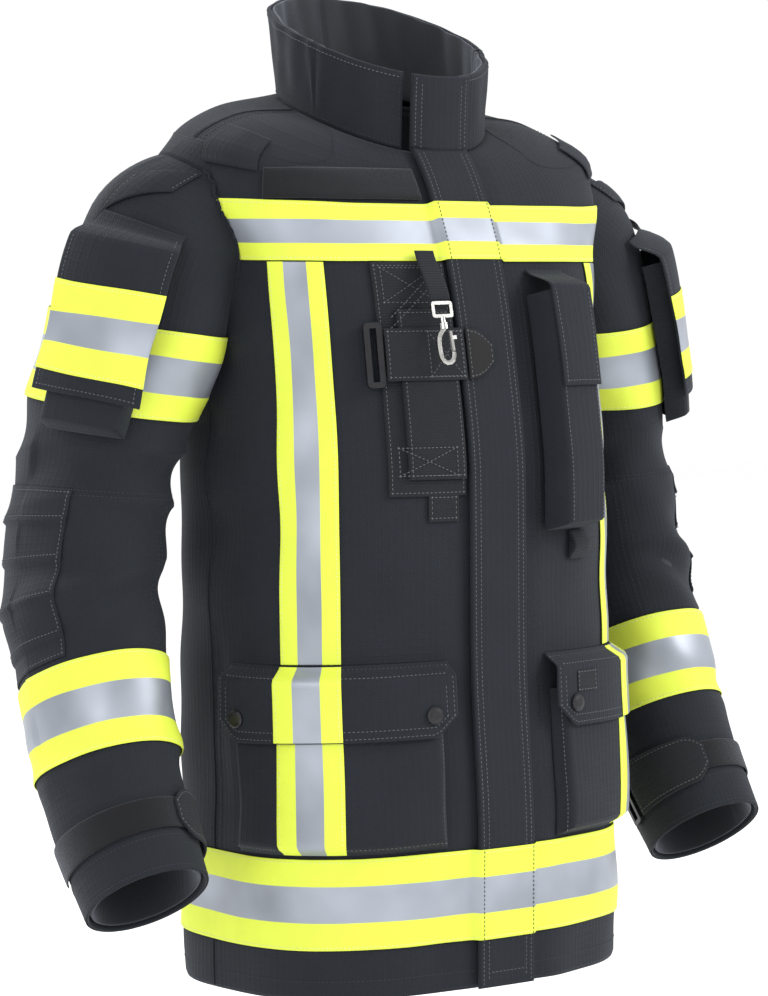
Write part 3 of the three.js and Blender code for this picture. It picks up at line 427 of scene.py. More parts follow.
class Joins:
    """Where the sleeves pass into the body."""

    def __init__(self) -> None:
        """Builds the search trees."""
        self.sleeves = {side: tree_of(skin, SHOULDER_START + 1) for side, skin in SLEEVES.items()}
        self.body = tree_of(BODY, FRONT_LENGTH)

    @staticmethod
    def depth(tree: BVHTree, point: Array, middle: Array) -> float:
        """Returns how far a point is inside a surface, negative outside it."""
        spot, _, _, distance = tree.find_nearest(point.tolist())
        outward = np.dot(np.asarray(spot) - middle, point - np.asarray(spot))
        return -distance if outward > 0 else distance

    @staticmethod
    def top_ring(side: int) -> tuple[Array, Array]:
        """Returns the middle of a sleeve's last ring and the direction out of it."""
        ring = SLEEVE_PLAIN[side].points[:-1, -1]
        middle = ring.mean(axis=0)
        run = np.cross(ring[36] - middle, ring[0] - middle)
        run /= np.linalg.norm(run)
        return middle, run if run[0] * side < 0 else -run

    def inside_sleeve(self, points: Array, margin: float) -> Array:
        """Returns which points are deeper inside a sleeve than a margin.

        Args:
            points: The points, in millimetres.
            margin: The depth, in millimetres.
        """
        found = np.zeros(len(points), bool)
        for side in SLEEVES:
            middle, run = self.top_ring(side)
            past = (points - middle) @ run > -3.0
            near = np.flatnonzero((points[:, 0] * side > 120) & (points[:, 2] > ARMHOLE_LOWEST) & ~past)
            for i in near:
                up = np.clip(points[i, 2] + NECK_HEIGHT, ELBOW, SHOULDER_START)
                middle = sleeve_centre(side, up)
                if np.linalg.norm(points[i] - middle) > 110:
                    continue
                found[i] |= self.depth(self.sleeves[side], points[i], middle) > margin
        return found

    def inside_body(self, points: Array, margin: float) -> Array:
        """Returns which points are deeper inside the body than a margin."""
        found = np.zeros(len(points), bool)
        for i, point in enumerate(points):
            if abs(point[0]) > 215 or point[2] < -420:
                continue
            middle = np.array([0.0, 20.0, min(point[2], -130.0)])
            found[i] = self.depth(self.body, point, middle) > margin
        return found

    def armhole(self, side: int, lift: float) -> Array:
        """Returns the line on which a sleeve leaves the body.

        Args:
            side: -1 for the wearer's right and 1 for the left.
            lift: How far outside both surfaces the line runs.
        """
        line = []
        skin = SLEEVES[side]
        for turn in np.arange(0, 360, 4.0):
            ups = np.arange(SHOULDER_START - 0.5, ELBOW + 30, -3.0)
            for up, point in zip(ups, skin.at(turn, ups, 0.0)):
                middle = np.array([0.0, 20.0, min(point[2], -130.0)])
                if self.depth(self.body, point, middle) < 0.5:
                    line.append(skin.at(turn, up, lift))
                    break
        return np.array(line)


JOINS = Joins()


def clear_of_sleeves(margin: float) -> Callable[[Array], Array]:
    """Returns a test of which points aren't deeper inside a sleeve than a margin."""
    return lambda points: ~JOINS.inside_sleeve(points, margin)


def clear_of_body(margin: float) -> Callable[[Array], Array]:
    """Returns a test of which points aren't deeper inside the body than a margin."""
    return lambda points: ~JOINS.inside_body(points, margin)


# ---- Meshes ----


def spread(length: float, step: float) -> Array:
    """Returns shares from 0 to 1 with extra ones close to both ends, where cloth is rounded."""
    rim = np.array([0.0, 0.35, 0.9, 1.8])
    rim = rim[rim < length / 3]
    count = max(int(round((length - 2 * rim[-1]) / step)), 1)
    inside = np.linspace(rim[-1], length - rim[-1], count + 1)[1:-1]
    return np.concatenate([rim, inside, (length - rim)[::-1]]) / length


def new_piece(name: str, points: Array, faces: Array, uv: Array | None = None) -> bpy.types.Object:
    """Returns a new smooth mesh object.

    Args:
        name: The piece's name.
        points: Vertices in millimetres.
        faces: Corner numbers, the same count for each face.
        uv: A place on the cloth for each vertex.
    """
    used, index = np.unique(faces, return_inverse=True)
    faces = index.reshape(faces.shape)
    mesh = bpy.data.meshes.new(name)
    mesh.vertices.add(len(used))
    mesh.vertices.foreach_set("co", (points[used] * MM).astype(np.float32).ravel())
    corners = faces.shape[1]
    mesh.loops.add(faces.size)
    mesh.loops.foreach_set("vertex_index", faces.astype(np.int32).ravel())
    mesh.polygons.add(len(faces))
    mesh.polygons.foreach_set("loop_start", np.arange(0, faces.size, corners, dtype=np.int32))
    mesh.update(calc_edges=True)
    if uv is not None:
        layer = mesh.uv_layers.new(name="UVMap")
        layer.data.foreach_set("uv", uv[used][faces.ravel()].astype(np.float32).ravel())
    mesh.validate()
    mesh.polygons.foreach_set("use_smooth", np.ones(len(mesh.polygons), bool))
    piece = bpy.data.objects.new(name, mesh)
    bpy.context.scene.collection.objects.link(piece)
    return piece


@dataclass
class Cloth:
    """One piece of cloth between two lifts off a skin, with rounded edges and sewn channels."""

    skin: Skin
    across: tuple[float, float]
    up: tuple[Edge, Edge]
    inner: Lift
    outer: Lift
    step: float = 3.0
    closed: bool = False
    seams: tuple[float, ...] = ()
    seam_depth: float = 0.45
    up_knots: Array | None = None
    keep: Callable[[Array], Array] | None = None
    band: bool = False

    def grid(self) -> tuple[Array, Array, Array, Array, Array]:
        """Returns places round, heights, distances to the nearest edge, and both shares."""
        low, high = self.across
        length = (high - low) * self.skin.a_mm
        shares_a = spread(length, self.step)
        if self.closed:
            shares_a = np.linspace(0, 1, int(length / self.step) + 1)[:-1]
        a = low + (high - low) * shares_a
        bottom = self.up[0](a) if callable(self.up[0]) else np.full_like(a, self.up[0])
        top = self.up[1](a) if callable(self.up[1]) else np.full_like(a, self.up[1])
        tall = float(np.max(top - bottom))
        shares_b = spread(tall, self.step) if self.up_knots is None else self.up_knots
        b = bottom[:, None] + (top - bottom)[:, None] * shares_b[None]
        grid_a = np.broadcast_to(a[:, None], b.shape)
        near_a = np.minimum(shares_a, 1 - shares_a)[:, None] * length
        if self.closed:
            near_a = np.full_like(near_a, 1e6)
        near_b = np.minimum(b - bottom[:, None], top[:, None] - b)
        return grid_a, b, np.minimum(near_a, near_b), shares_a, shares_b

    def piece(self, name: str) -> bpy.types.Object:
        """Returns the cloth as a closed mesh.

        Args:
            name: The piece's name.
        """
        a, b, near, shares_a, shares_b = self.grid()
        inner = self.inner(a, b) if callable(self.inner) else np.full(a.shape, self.inner)
        outer = self.outer(a, b) if callable(self.outer) else np.full(a.shape, self.outer)
        thick = outer - inner
        radius = np.minimum(thick, 2.0)
        part = np.clip(1 - near / radius, 0, 1)
        pinch = 0.42 * thick * (1 - np.sqrt(1 - part**2))
        for seam in self.seams:
            outer = outer - self.seam_depth * bump(near, seam, 1.2)
        outside = self.skin.at(a, b, outer - pinch).reshape(-1, 3)
        inside = self.skin.at(a, b, inner + pinch).reshape(-1, 3)
        columns, rows = a.shape
        ids = np.arange(columns * rows).reshape(columns, rows)
        if self.closed:
            ids = np.concatenate([ids, ids[:1]])
        quads = np.stack([ids[:-1, :-1], ids[1:, :-1], ids[1:, 1:], ids[:-1, 1:]], -1)
        quads = quads.reshape(-1, 4)
        if self.keep is not None:
            quads = quads[self.keep(outside[quads].mean(axis=1))]
        first = outside[quads[0]]
        facing = np.cross(first[1] - first[0], first[3] - first[0])
        spot = (a.ravel()[quads[0][0]], b.ravel()[quads[0][0]])
        outward = self.skin.at(*spot, 1.0) - self.skin.at(*spot, 0.0)
        if np.dot(facing, outward) < 0:
            quads = quads[:, ::-1]
        faces = self._closed_faces(quads, len(outside))
        if self.band:
            lengths = a[:, 0] * self.skin.a_mm * MM
            uv = np.stack(np.broadcast_arrays(lengths[:, None], shares_b[None]), -1)
        else:
            uv = np.stack([a * self.skin.a_mm * MM, b * MM], -1)
        uv = uv.reshape(-1, 2)
        return new_piece(name, np.concatenate([outside, inside]), faces, np.tile(uv, (2, 1)))

    @staticmethod
    def _closed_faces(quads: Array, count: int) -> Array:
        """Returns the faces of both sides of a sheet and of its rim.

        Args:
            quads: The outer side's faces.
            count: How many points each side has.
        """
        starts = quads.ravel()
        ends = np.roll(quads, -1, axis=1).ravel()
        forward = starts.astype(np.int64) * count + ends
        backward = ends.astype(np.int64) * count + starts
        open_edge = ~np.isin(forward, backward)
        s, e = starts[open_edge], ends[open_edge]
        rim = np.stack([e, s, s + count, e + count], -1)
        return np.concatenate([quads, quads[:, ::-1] + count, rim])


def tube(name: str, line: Array, radius: float, sides: int = 8, closed: bool = False) -> bpy.types.Object:
    """Returns a round tube along a line, with closed ends.

    Args:
        name: The piece's name.
        line: Points in millimetres.
        radius: Radius in millimetres.
        sides: Faces round the tube.
        closed: Whether the line runs back to its start.
    """
    curve = bpy.data.curves.new(name, "CURVE")
    curve.dimensions = "3D"
    curve.bevel_depth = radius * MM
    curve.bevel_resolution = max(sides // 4, 1)
    curve.use_fill_caps = True
    spline = curve.splines.new("POLY")
    spline.points.add(len(line) - 1)
    for spot, point in zip(spline.points, line * MM):
        spot.co = (*point, 1.0)
    spline.use_cyclic_u = closed
    source = bpy.data.objects.new(name + "_line", curve)
    bpy.context.scene.collection.objects.link(source)
    bpy.context.view_layer.update()
    mesh = bpy.data.meshes.new_from_object(source.evaluated_get(bpy.context.evaluated_depsgraph_get()))
    bpy.data.objects.remove(source)
    mesh.name = name
    mesh.polygons.foreach_set("use_smooth", np.ones(len(mesh.polygons), bool))
    piece = bpy.data.objects.new(name, mesh)
    bpy.context.scene.collection.objects.link(piece)
    return piece


# ---- Finishes ----


class Thread(Enum):
    """The threads that the coat is sewn with, by colour."""

    DARK = (0.03, 0.034, 0.042)
    PALE = (0.62, 0.66, 0.36)
    GREY = (0.12, 0.125, 0.135)


@dataclass
class Nodes:
    """A material's node tree, with short ways to add to it."""

    material: bpy.types.Material

    def add(self, kind: str, **values: object) -> bpy.types.Node:
        """Returns a new node with some of its settings and inputs set.

        Args:
            kind: The node's type.
            values: A setting's name, or an input's name with _ for each space, and its value.
        """
        node = self.material.node_tree.nodes.new(kind)
        for name, value in values.items():
            if hasattr(node, name):
                setattr(node, name, value)
            else:
                node.inputs[name.replace("_", " ")].default_value = value
        return node

    def link(self, start: bpy.types.NodeSocket, end: bpy.types.NodeSocket) -> None:
        """Joins two sockets."""
        self.material.node_tree.links.new(start, end)


def blank(name: str) -> tuple[Nodes, bpy.types.Node]:
    """Returns a new material's nodes and its main shader."""
    material = bpy.data.materials.new(name)
    material.use_nodes = True
    shader = next(n for n in material.node_tree.nodes if n.type == "BSDF_PRINCIPLED")
    return Nodes(material), shader


@dataclass(frozen=True)
class WovenCloth:
    """A woven cloth: its colour, thread pitch, ripstop squares and wear."""

    name: str
    color: tuple[float, float, float]
    pitch: float = 0.0011
    square: float = 0.0
    sheen: float = 0.07
    roughness: float = 0.82
    bump: float = 0.35
    variation: float = 0.35
    rib: bool = False
    fuzzy: bool = False

    def make(self) -> bpy.types.Material:
        """Returns the cloth's material."""
        t, shader = blank(self.name)
        shader.inputs["Roughness"].default_value = self.roughness
        shader.inputs["Sheen Weight"].default_value = self.sheen
        shader.inputs["Sheen Roughness"].default_value = 0.45
        shader.inputs["Sheen Tint"].default_value = (0.75, 0.82, 0.95, 1)
        shader.inputs["Specular IOR Level"].default_value = 0.25
        uv = t.add("ShaderNodeUVMap", uv_map="UVMap")
        twill = t.add("ShaderNodeTexWave", wave_type="BANDS", bands_direction="DIAGONAL")
        twill.inputs["Scale"].default_value = 0.31 / self.pitch
        twill.inputs["Distortion"].default_value = 0.6
        t.link(uv.outputs["UV"], twill.inputs["Vector"])
        place_in = t.add("ShaderNodeTexCoord")
        cloud = t.add("ShaderNodeTexNoise", Scale=26.0, Detail=5.0, Roughness=0.62)
        t.link(place_in.outputs["Object"], cloud.inputs["Vector"])
        grain = t.add("ShaderNodeTexNoise", Scale=900.0, Detail=2.0, Roughness=0.7)
        t.link(place_in.outputs["Object"], grain.inputs["Vector"])
        dark = tuple(c * (1 - self.variation) for c in self.color)
        light = tuple(c * (1 + self.variation) for c in self.color)
        tone = t.add("ShaderNodeMix", data_type="RGBA")
        tone.inputs["A"].default_value = (*dark, 1)
        tone.inputs["B"].default_value = (*light, 1)
        both = t.add("ShaderNodeMath", operation="MULTIPLY_ADD")
        both.inputs[1].default_value = 0.6
        t.link(cloud.outputs["Fac"], both.inputs[0])
        share = t.add("ShaderNodeMath", operation="MULTIPLY")
        share.inputs[1].default_value = 0.4
        t.link(grain.outputs["Fac"], share.inputs[0])
        t.link(share.outputs[0], both.inputs[2])
        t.link(both.outputs[0], tone.inputs["Factor"])
        t.link(tone.outputs["Result"], shader.inputs["Base Color"])
        height = t.add("ShaderNodeMath", operation="ADD")
        t.link(twill.outputs["Fac"], height.inputs[0])
        t.link(grain.outputs["Fac"], height.inputs[1])
        last = height.outputs[0]
        if self.fuzzy:
            grain.inputs["Scale"].default_value = 1300.0
            last = grain.outputs["Fac"]
        if self.square:
            last = self._ripstop(t, uv, last)
        if self.rib:
            last = self._ribs(t, uv, last)
        raised = t.add("ShaderNodeBump", Strength=self.bump, Distance=0.0006)
        t.link(last, raised.inputs["Height"])
        t.link(raised.outputs["Normal"], shader.inputs["Normal"])
        return t.material

    def _ripstop(
        self, t: Nodes, uv: bpy.types.Node, last: bpy.types.NodeSocket
    ) -> bpy.types.NodeSocket:
        """Returns the height with a raised thread round each square of the cloth.

        Args:
            t: The material's nodes.
            uv: The cloth's own map.
            last: The height so far.
        """
        for way in ("X", "Y"):
            line = t.add("ShaderNodeTexWave", wave_type="BANDS", bands_direction=way)
            line.inputs["Scale"].default_value = 0.314 / self.square
            t.link(uv.outputs["UV"], line.inputs["Vector"])
            narrow = t.add("ShaderNodeMath", operation="POWER")
            narrow.inputs[1].default_value = 9.0
            t.link(line.outputs["Fac"], narrow.inputs[0])
            added = t.add("ShaderNodeMath", operation="MULTIPLY_ADD")
            added.inputs[1].default_value = 1.1
            t.link(narrow.outputs[0], added.inputs[0])
            t.link(last, added.inputs[2])
            last = added.outputs[0]
        return last

    def _ribs(self, t: Nodes, uv: bpy.types.Node, last: bpy.types.NodeSocket) -> bpy.types.NodeSocket:
        """Returns the height with the ribs of a woven tape.

        Args:
            t: The material's nodes.
            uv: The tape's own map.
            last: The height so far.
        """
        ribs = t.add("ShaderNodeTexWave", wave_type="BANDS", bands_direction="Y")
        ribs.inputs["Scale"].default_value = 0.314 / 0.0022
        t.link(uv.outputs["UV"], ribs.inputs["Vector"])
        added = t.add("ShaderNodeMath", operation="MULTIPLY_ADD")
        added.inputs[1].default_value = 2.0
        t.link(ribs.outputs["Fac"], added.inputs[0])
        t.link(last, added.inputs[2])
        return added.outputs[0]


@dataclass(frozen=True)
class ReflectiveTape:
    """A fluorescent yellow trim with a silver middle."""

    name: str = "reflective_trim"
    yellow: tuple[float, float, float] = (0.66, 0.77, 0.06)
    silver: tuple[float, float, float] = (0.29, 0.315, 0.36)
    silver_from: float = 0.3
    silver_to: float = 0.7

    def make(self) -> bpy.types.Material:
        """Returns the trim's material, whose map runs along it and across it."""
        t, shader = blank(self.name)
        uv = t.add("ShaderNodeUVMap", uv_map="UVMap")
        parts = t.add("ShaderNodeSeparateXYZ")
        t.link(uv.outputs["UV"], parts.inputs[0])
        above = t.add("ShaderNodeMath", operation="GREATER_THAN")
        above.inputs[1].default_value = self.silver_from
        below = t.add("ShaderNodeMath", operation="LESS_THAN")
        below.inputs[1].default_value = self.silver_to
        inside = t.add("ShaderNodeMath", operation="MULTIPLY")
        t.link(parts.outputs["Y"], above.inputs[0])
        t.link(parts.outputs["Y"], below.inputs[0])
        t.link(above.outputs[0], inside.inputs[0])
        t.link(below.outputs[0], inside.inputs[1])
        coords = t.add("ShaderNodeTexCoord")
        soil_and_sheen = t.add("ShaderNodeTexNoise", Scale=34.0, Detail=4.0, Roughness=0.6)
        t.link(coords.outputs["Object"], soil_and_sheen.inputs["Vector"])
        weave = t.add("ShaderNodeTexNoise", Scale=1400.0, Detail=1.0)
        t.link(coords.outputs["Object"], weave.inputs["Vector"])
        # Painted sheen: this noise lightens and darkens the silver's colour to stand in for highlights on the
        # tape's soft folds.
        sheen = t.add("ShaderNodeTexNoise", Scale=17.0, Detail=2.0, Roughness=0.4)
        t.link(coords.outputs["Object"], sheen.inputs["Vector"])
        yellow = self._tone(t, soil_and_sheen, self.yellow, 0.1)
        # The silver swings by half either way with the painted sheen noise: painted highlights, not a change
        # in the tape.
        silver = self._tone(t, sheen, self.silver, 0.5)
        color = t.add("ShaderNodeMix", data_type="RGBA")
        t.link(inside.outputs[0], color.inputs["Factor"])
        t.link(yellow.outputs["Result"], color.inputs["A"])
        t.link(silver.outputs["Result"], color.inputs["B"])
        t.link(color.outputs["Result"], shader.inputs["Base Color"])
        for socket, plain, bright in (("Roughness", 0.68, 0.42), ("Metallic", 0.0, 0.4)):
            value = t.add("ShaderNodeMix", data_type="FLOAT")
            value.inputs["A"].default_value = plain
            value.inputs["B"].default_value = bright
            t.link(inside.outputs[0], value.inputs["Factor"])
            t.link(value.outputs["Result"], shader.inputs[socket])
        raised = t.add("ShaderNodeBump", Strength=0.18, Distance=0.0004)
        t.link(weave.outputs["Fac"], raised.inputs["Height"])
        t.link(raised.outputs["Normal"], shader.inputs["Normal"])
        return t.material

    @staticmethod
    def _tone(
        t: Nodes, soil_and_sheen: bpy.types.Node, color: tuple[float, float, float], amount: float
    ) -> bpy.types.Node:
        """Returns a colour that a noise varies over the tape: a slight soil tone on the yellow, and on the
        silver a painted sheen of lighter and darker patches that stand in for highlights on soft folds.
        """
        tone = t.add("ShaderNodeMix", data_type="RGBA")
        tone.inputs["A"].default_value = (*(c * (1 - amount) for c in color), 1)
        tone.inputs["B"].default_value = (*(min(c * (1 + amount), 1) for c in color), 1)
        t.link(soil_and_sheen.outputs["Fac"], tone.inputs["Factor"])
        return tone


@dataclass(frozen=True)
class Hard:
    """A hard or leather finish with scuffs and a little grain."""

    name: str
    color: tuple[float, float, float]
    roughness: float
    metallic: float = 0.0
    grain: float = 400.0
    bump: float = 0.1
    wear: float = 0.3
    gloss: float = 0.5

    def make(self) -> bpy.types.Material:
        """Returns the finish's material."""
        t, shader = blank(self.name)
        shader.inputs["Metallic"].default_value = self.metallic
        shader.inputs["Specular IOR Level"].default_value = self.gloss
        coords = t.add("ShaderNodeTexCoord")
        scuff = t.add("ShaderNodeTexNoise", Scale=120.0, Detail=6.0, Roughness=0.7)
        t.link(coords.outputs["Object"], scuff.inputs["Vector"])
        tone = t.add("ShaderNodeMix", data_type="RGBA")
        tone.inputs["A"].default_value = (*self.color, 1)
        tone.inputs["B"].default_value = (*(min(c * (1 + self.wear) + 0.01, 1) for c in self.color), 1)
        t.link(scuff.outputs["Fac"], tone.inputs["Factor"])
        t.link(tone.outputs["Result"], shader.inputs["Base Color"])
        rough = t.add("ShaderNodeMapRange")
        rough.inputs["To Min"].default_value = max(self.roughness - 0.12, 0.05)
        rough.inputs["To Max"].default_value = min(self.roughness + 0.14, 1.0)
        t.link(scuff.outputs["Fac"], rough.inputs["Value"])
        t.link(rough.outputs["Result"], shader.inputs["Roughness"])
        fine = t.add("ShaderNodeTexVoronoi", Scale=self.grain)
        t.link(coords.outputs["Object"], fine.inputs["Vector"])
        raised = t.add("ShaderNodeBump", Strength=self.bump, Distance=0.0004)
        t.link(fine.outputs["Distance"], raised.inputs["Height"])
        t.link(raised.outputs["Normal"], shader.inputs["Normal"])
        return t.material


NAVY = (0.0096, 0.0118, 0.0168)


class Finishes:
    """Every finish of the coat, each made once."""

    def __init__(self) -> None:
        """Makes the materials."""
        self.shell = WovenCloth("shell_cloth", NAVY, square=0.006).make()
        self.liner = WovenCloth("liner_cloth", (0.016, 0.018, 0.022), pitch=0.0015, sheen=0.4).make()
        self.webbing = WovenCloth("webbing", (0.011, 0.012, 0.015), rib=True, bump=0.5).make()
        self.loop = WovenCloth("loop_tape", (0.004, 0.004, 0.005), sheen=0.25, bump=1.0, fuzzy=True).make()
        self.trim = ReflectiveTape().make()
        self.leather = Hard("leather", (0.006, 0.006, 0.007), 0.6, grain=900, bump=0.35, gloss=0.15).make()
        self.black_metal = Hard("black_metal", (0.014, 0.014, 0.016), 0.3, 0.6, wear=0.8).make()
        self.nickel = Hard("nickel", (0.4, 0.395, 0.38), 0.24, 1.0, bump=0.02, wear=0.1).make()
        self.plastic = Hard("plastic", (0.016, 0.017, 0.019), 0.4, grain=1500).make()
        self.threads = {
            thread: WovenCloth(f"thread_{thread.name.lower()}", thread.value, pitch=0.0006).make()
            for thread in Thread
        }


FINISH = Finishes()
COAT = "coat_body"


@dataclass
class Fitting:
    """What a finished piece needs: its finish, its body and the frame's parts that it stands in for."""

    piece: bpy.types.Object
    finish: bpy.types.Material
    slot: str
    body: str = COAT
    instead_of: tuple[str, ...] = ()
    bend: int = 0

    def done(self) -> bpy.types.Object:
        """Gives the piece its finish, attaches it and returns it."""
        self.piece.data.materials.clear()
        self.piece.data.materials.append(self.finish)
        return self.attach()

    def attach(self) -> bpy.types.Object:
        """Joins the piece to its body, or only bakes its transform when it has a bend side, and returns it.
        """
        if self.bend:
            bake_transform(self.piece)
        else:
            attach(self.piece, self.body)
        if self.instead_of:
            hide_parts(*self.instead_of)
        log.info("%s: %d faces", self.piece.name, len(self.piece.data.polygons))
        return self.piece


# ---- Stitches ----


@dataclass(frozen=True)
class StitchTree:
    """A node tree that lays stitches along lines."""

    pitch: float = 0.0036
    length: float = 0.0027
    width: float = 0.0007

    def make(self) -> bpy.types.NodeTree:
        """Returns the node tree, with its sizes as named inputs."""
        tree = bpy.data.node_groups.new("stitches_along_lines", "GeometryNodeTree")
        face = tree.interface
        face.new_socket("Geometry", in_out="INPUT", socket_type="NodeSocketGeometry")
        for name, value in (("Pitch", self.pitch), ("Length", self.length), ("Width", self.width)):
            socket = face.new_socket(name, in_out="INPUT", socket_type="NodeSocketFloat")
            socket.default_value = value
        face.new_socket("Thread", in_out="INPUT", socket_type="NodeSocketMaterial")
        face.new_socket("Geometry", in_out="OUTPUT", socket_type="NodeSocketGeometry")
        new, link = tree.nodes.new, tree.links.new
        start, end = new("NodeGroupInput"), new("NodeGroupOutput")
        curve = new("GeometryNodeMeshToCurve")
        even = new("GeometryNodeResampleCurve")
        even.mode = "LENGTH"
        stitch = new("GeometryNodeMeshIcoSphere")
        stitch.inputs["Subdivisions"].default_value = 1
        stitch.inputs["Radius"].default_value = 0.5
        size = new("ShaderNodeCombineXYZ")
        tangent = new("GeometryNodeInputTangent")
        turn = new("FunctionNodeAlignRotationToVector")
        turn.axis = "X"
        copies = new("GeometryNodeInstanceOnPoints")
        real = new("GeometryNodeRealizeInstances")
        finish = new("GeometryNodeSetMaterial")
        link(start.outputs["Geometry"], curve.inputs["Mesh"])
        link(curve.outputs["Curve"], even.inputs["Curve"])
        link(start.outputs["Pitch"], even.inputs["Length"])
        link(start.outputs["Length"], size.inputs["X"])
        link(start.outputs["Width"], size.inputs["Y"])
        link(start.outputs["Width"], size.inputs["Z"])
        link(tangent.outputs["Tangent"], turn.inputs["Vector"])
        link(even.outputs["Curve"], copies.inputs["Points"])
        link(stitch.outputs["Mesh"], copies.inputs["Instance"])
        link(turn.outputs["Rotation"], copies.inputs["Rotation"])
        link(size.outputs["Vector"], copies.inputs["Scale"])
        link(copies.outputs["Instances"], real.inputs["Geometry"])
        link(real.outputs["Geometry"], finish.inputs["Geometry"])
        link(start.outputs["Thread"], finish.inputs["Material"])
        link(finish.outputs["Geometry"], end.inputs["Geometry"])
        return tree


STITCH_TREE = StitchTree().make()


def run_tree(
    name: str, source: bpy.types.Object, tree: bpy.types.NodeTree, **inputs: object
) -> bpy.types.Object:
    """Returns a plain mesh made by a node tree from a source, which is removed.

    Args:
        name: The new piece's name.
        source: The object that the tree starts from.
        tree: The node tree.
        inputs: Values of the tree's inputs, by name.
    """
    modifier = source.modifiers.new("tree", "NODES")
    modifier.node_group = tree
    for item in tree.interface.items_tree:
        if item.in_out == "INPUT" and item.name in inputs:
            modifier[item.identifier] = inputs[item.name]
    bpy.context.view_layer.update()
    done = source.evaluated_get(bpy.context.evaluated_depsgraph_get())
    mesh = bpy.data.meshes.new_from_object(done)
    source.modifiers.clear()
    bpy.data.objects.remove(source)
    mesh.name = name
    mesh.polygons.foreach_set("use_smooth", np.ones(len(mesh.polygons), bool))
    piece = bpy.data.objects.new(name, mesh)
    bpy.context.scene.collection.objects.link(piece)
    return piece


@dataclass
class Seams:
    """Lines of stitches, gathered by thread and by what they ride on, and sewn at the end."""

    lines: dict[tuple[Thread, str, int], list[Array]] = field(default_factory=dict)

    def add(self, line: Array, thread: Thread, body: str = COAT, bend: int = 0) -> None:
        """Keeps one line of points, in millimetres.

        Args:
            line: The points.
            thread: The thread's colour.
            body: The body that it rides on.
            bend: The side of the elbow that it lies at, or 0.
        """
        if len(line) > 1:
            self.lines.setdefault((thread, body, bend), []).append(line)

    def inset(self, cloth: Cloth, distance: float, thread: Thread, edges: str = "brtl",
              lift: float = 0.1, body: str = COAT, bend: int = 0) -> None:
        """Keeps a line at a distance inside some edges of a cloth.

        Args:
            cloth: The cloth.
            distance: Millimetres from its edges.
            thread: The thread's colour.
            edges: Which edges: b and t for bottom and top, l and r for the low and high ends.
            lift: Millimetres above the cloth.
            body: The body that it rides on.
            bend: The side of the elbow that it lies at, or 0.
        """
        scale = cloth.skin.a_mm
        a0, a1 = cloth.across
        na = max(int((a1 - a0) * scale / 6), 4)
        inside = distance / scale
        a = np.linspace(a0 + (0 if cloth.closed else inside), a1 - (0 if cloth.closed else inside), na)

        def edge(value: Edge, at: Array) -> Array:
            """Returns an edge's height at each place."""
            return value(at) if callable(value) else np.full_like(at, value)

        def on_top(aa: Array, bb: Array) -> Array:
            """Returns points just above the cloth's face."""
            over = cloth.outer(aa, bb) if callable(cloth.outer) else cloth.outer
            return cloth.skin.at(aa, bb, over + lift)

        if "b" in edges:
            self._run(on_top(a, edge(cloth.up[0], a) + distance), cloth, thread, body, bend)
        if "t" in edges:
            self._run(on_top(a, edge(cloth.up[1], a) - distance), cloth, thread, body, bend)
        for letter, spot in (("l", a0 + inside), ("r", a1 - inside)):
            if letter in edges and not cloth.closed:
                at = np.array([spot])
                low = float(edge(cloth.up[0], at)[0]) + distance
                high = float(edge(cloth.up[1], at)[0]) - distance
                b = np.linspace(low, high, max(int((high - low) / 6), 3))
                self._run(on_top(np.full_like(b, spot), b), cloth, thread, body, bend)

    def _run(self, line: Array, cloth: Cloth, thread: Thread, body: str, bend: int) -> None:
        """Keeps the stretches of a line that lie on the kept part of a cloth.

        Args:
            line: The points.
            cloth: The cloth that it runs on.
            thread: The thread's colour.
            body: The body that it rides on.
            bend: The side of the elbow that it lies at, or 0.
        """
        if cloth.keep is None:
            self.add(line, thread, body, bend)
            return
        kept = cloth.keep(line)
        start = 0
        for i in range(1, len(line) + 1):
            if i == len(line) or kept[i] != kept[start]:
                if kept[start]:
                    self.add(line[start:i], thread, body, bend)
                start = i

    def sew(self) -> None:
        """Makes one piece of stitches for each thread and body."""
        for (thread, body, bend), lines in self.lines.items():
            points = np.concatenate(lines) * MM
            edges, start = [], 0
            for line in lines:
                edges += [(start + i, start + i + 1) for i in range(len(line) - 1)]
                start += len(line)
            mesh = bpy.data.meshes.new("seam_lines")
            mesh.from_pydata(points.tolist(), edges, [])
            source = bpy.data.objects.new("seam_lines", mesh)
            bpy.context.scene.collection.objects.link(source)
            where = f"elbow_{'right' if bend < 0 else 'left'}" if bend else body
            name = f"stitches_{thread.name.lower()}_{where}"
            piece = run_tree(name, source, STITCH_TREE, Thread=FINISH.threads[thread])
            slot = "reflective_trim" if thread is Thread.PALE else "shell_cloth"
            Fitting(piece, FINISH.threads[thread], slot, body, bend=bend).done()


SEAMS = Seams()


# ---- Sub-assemblies ----


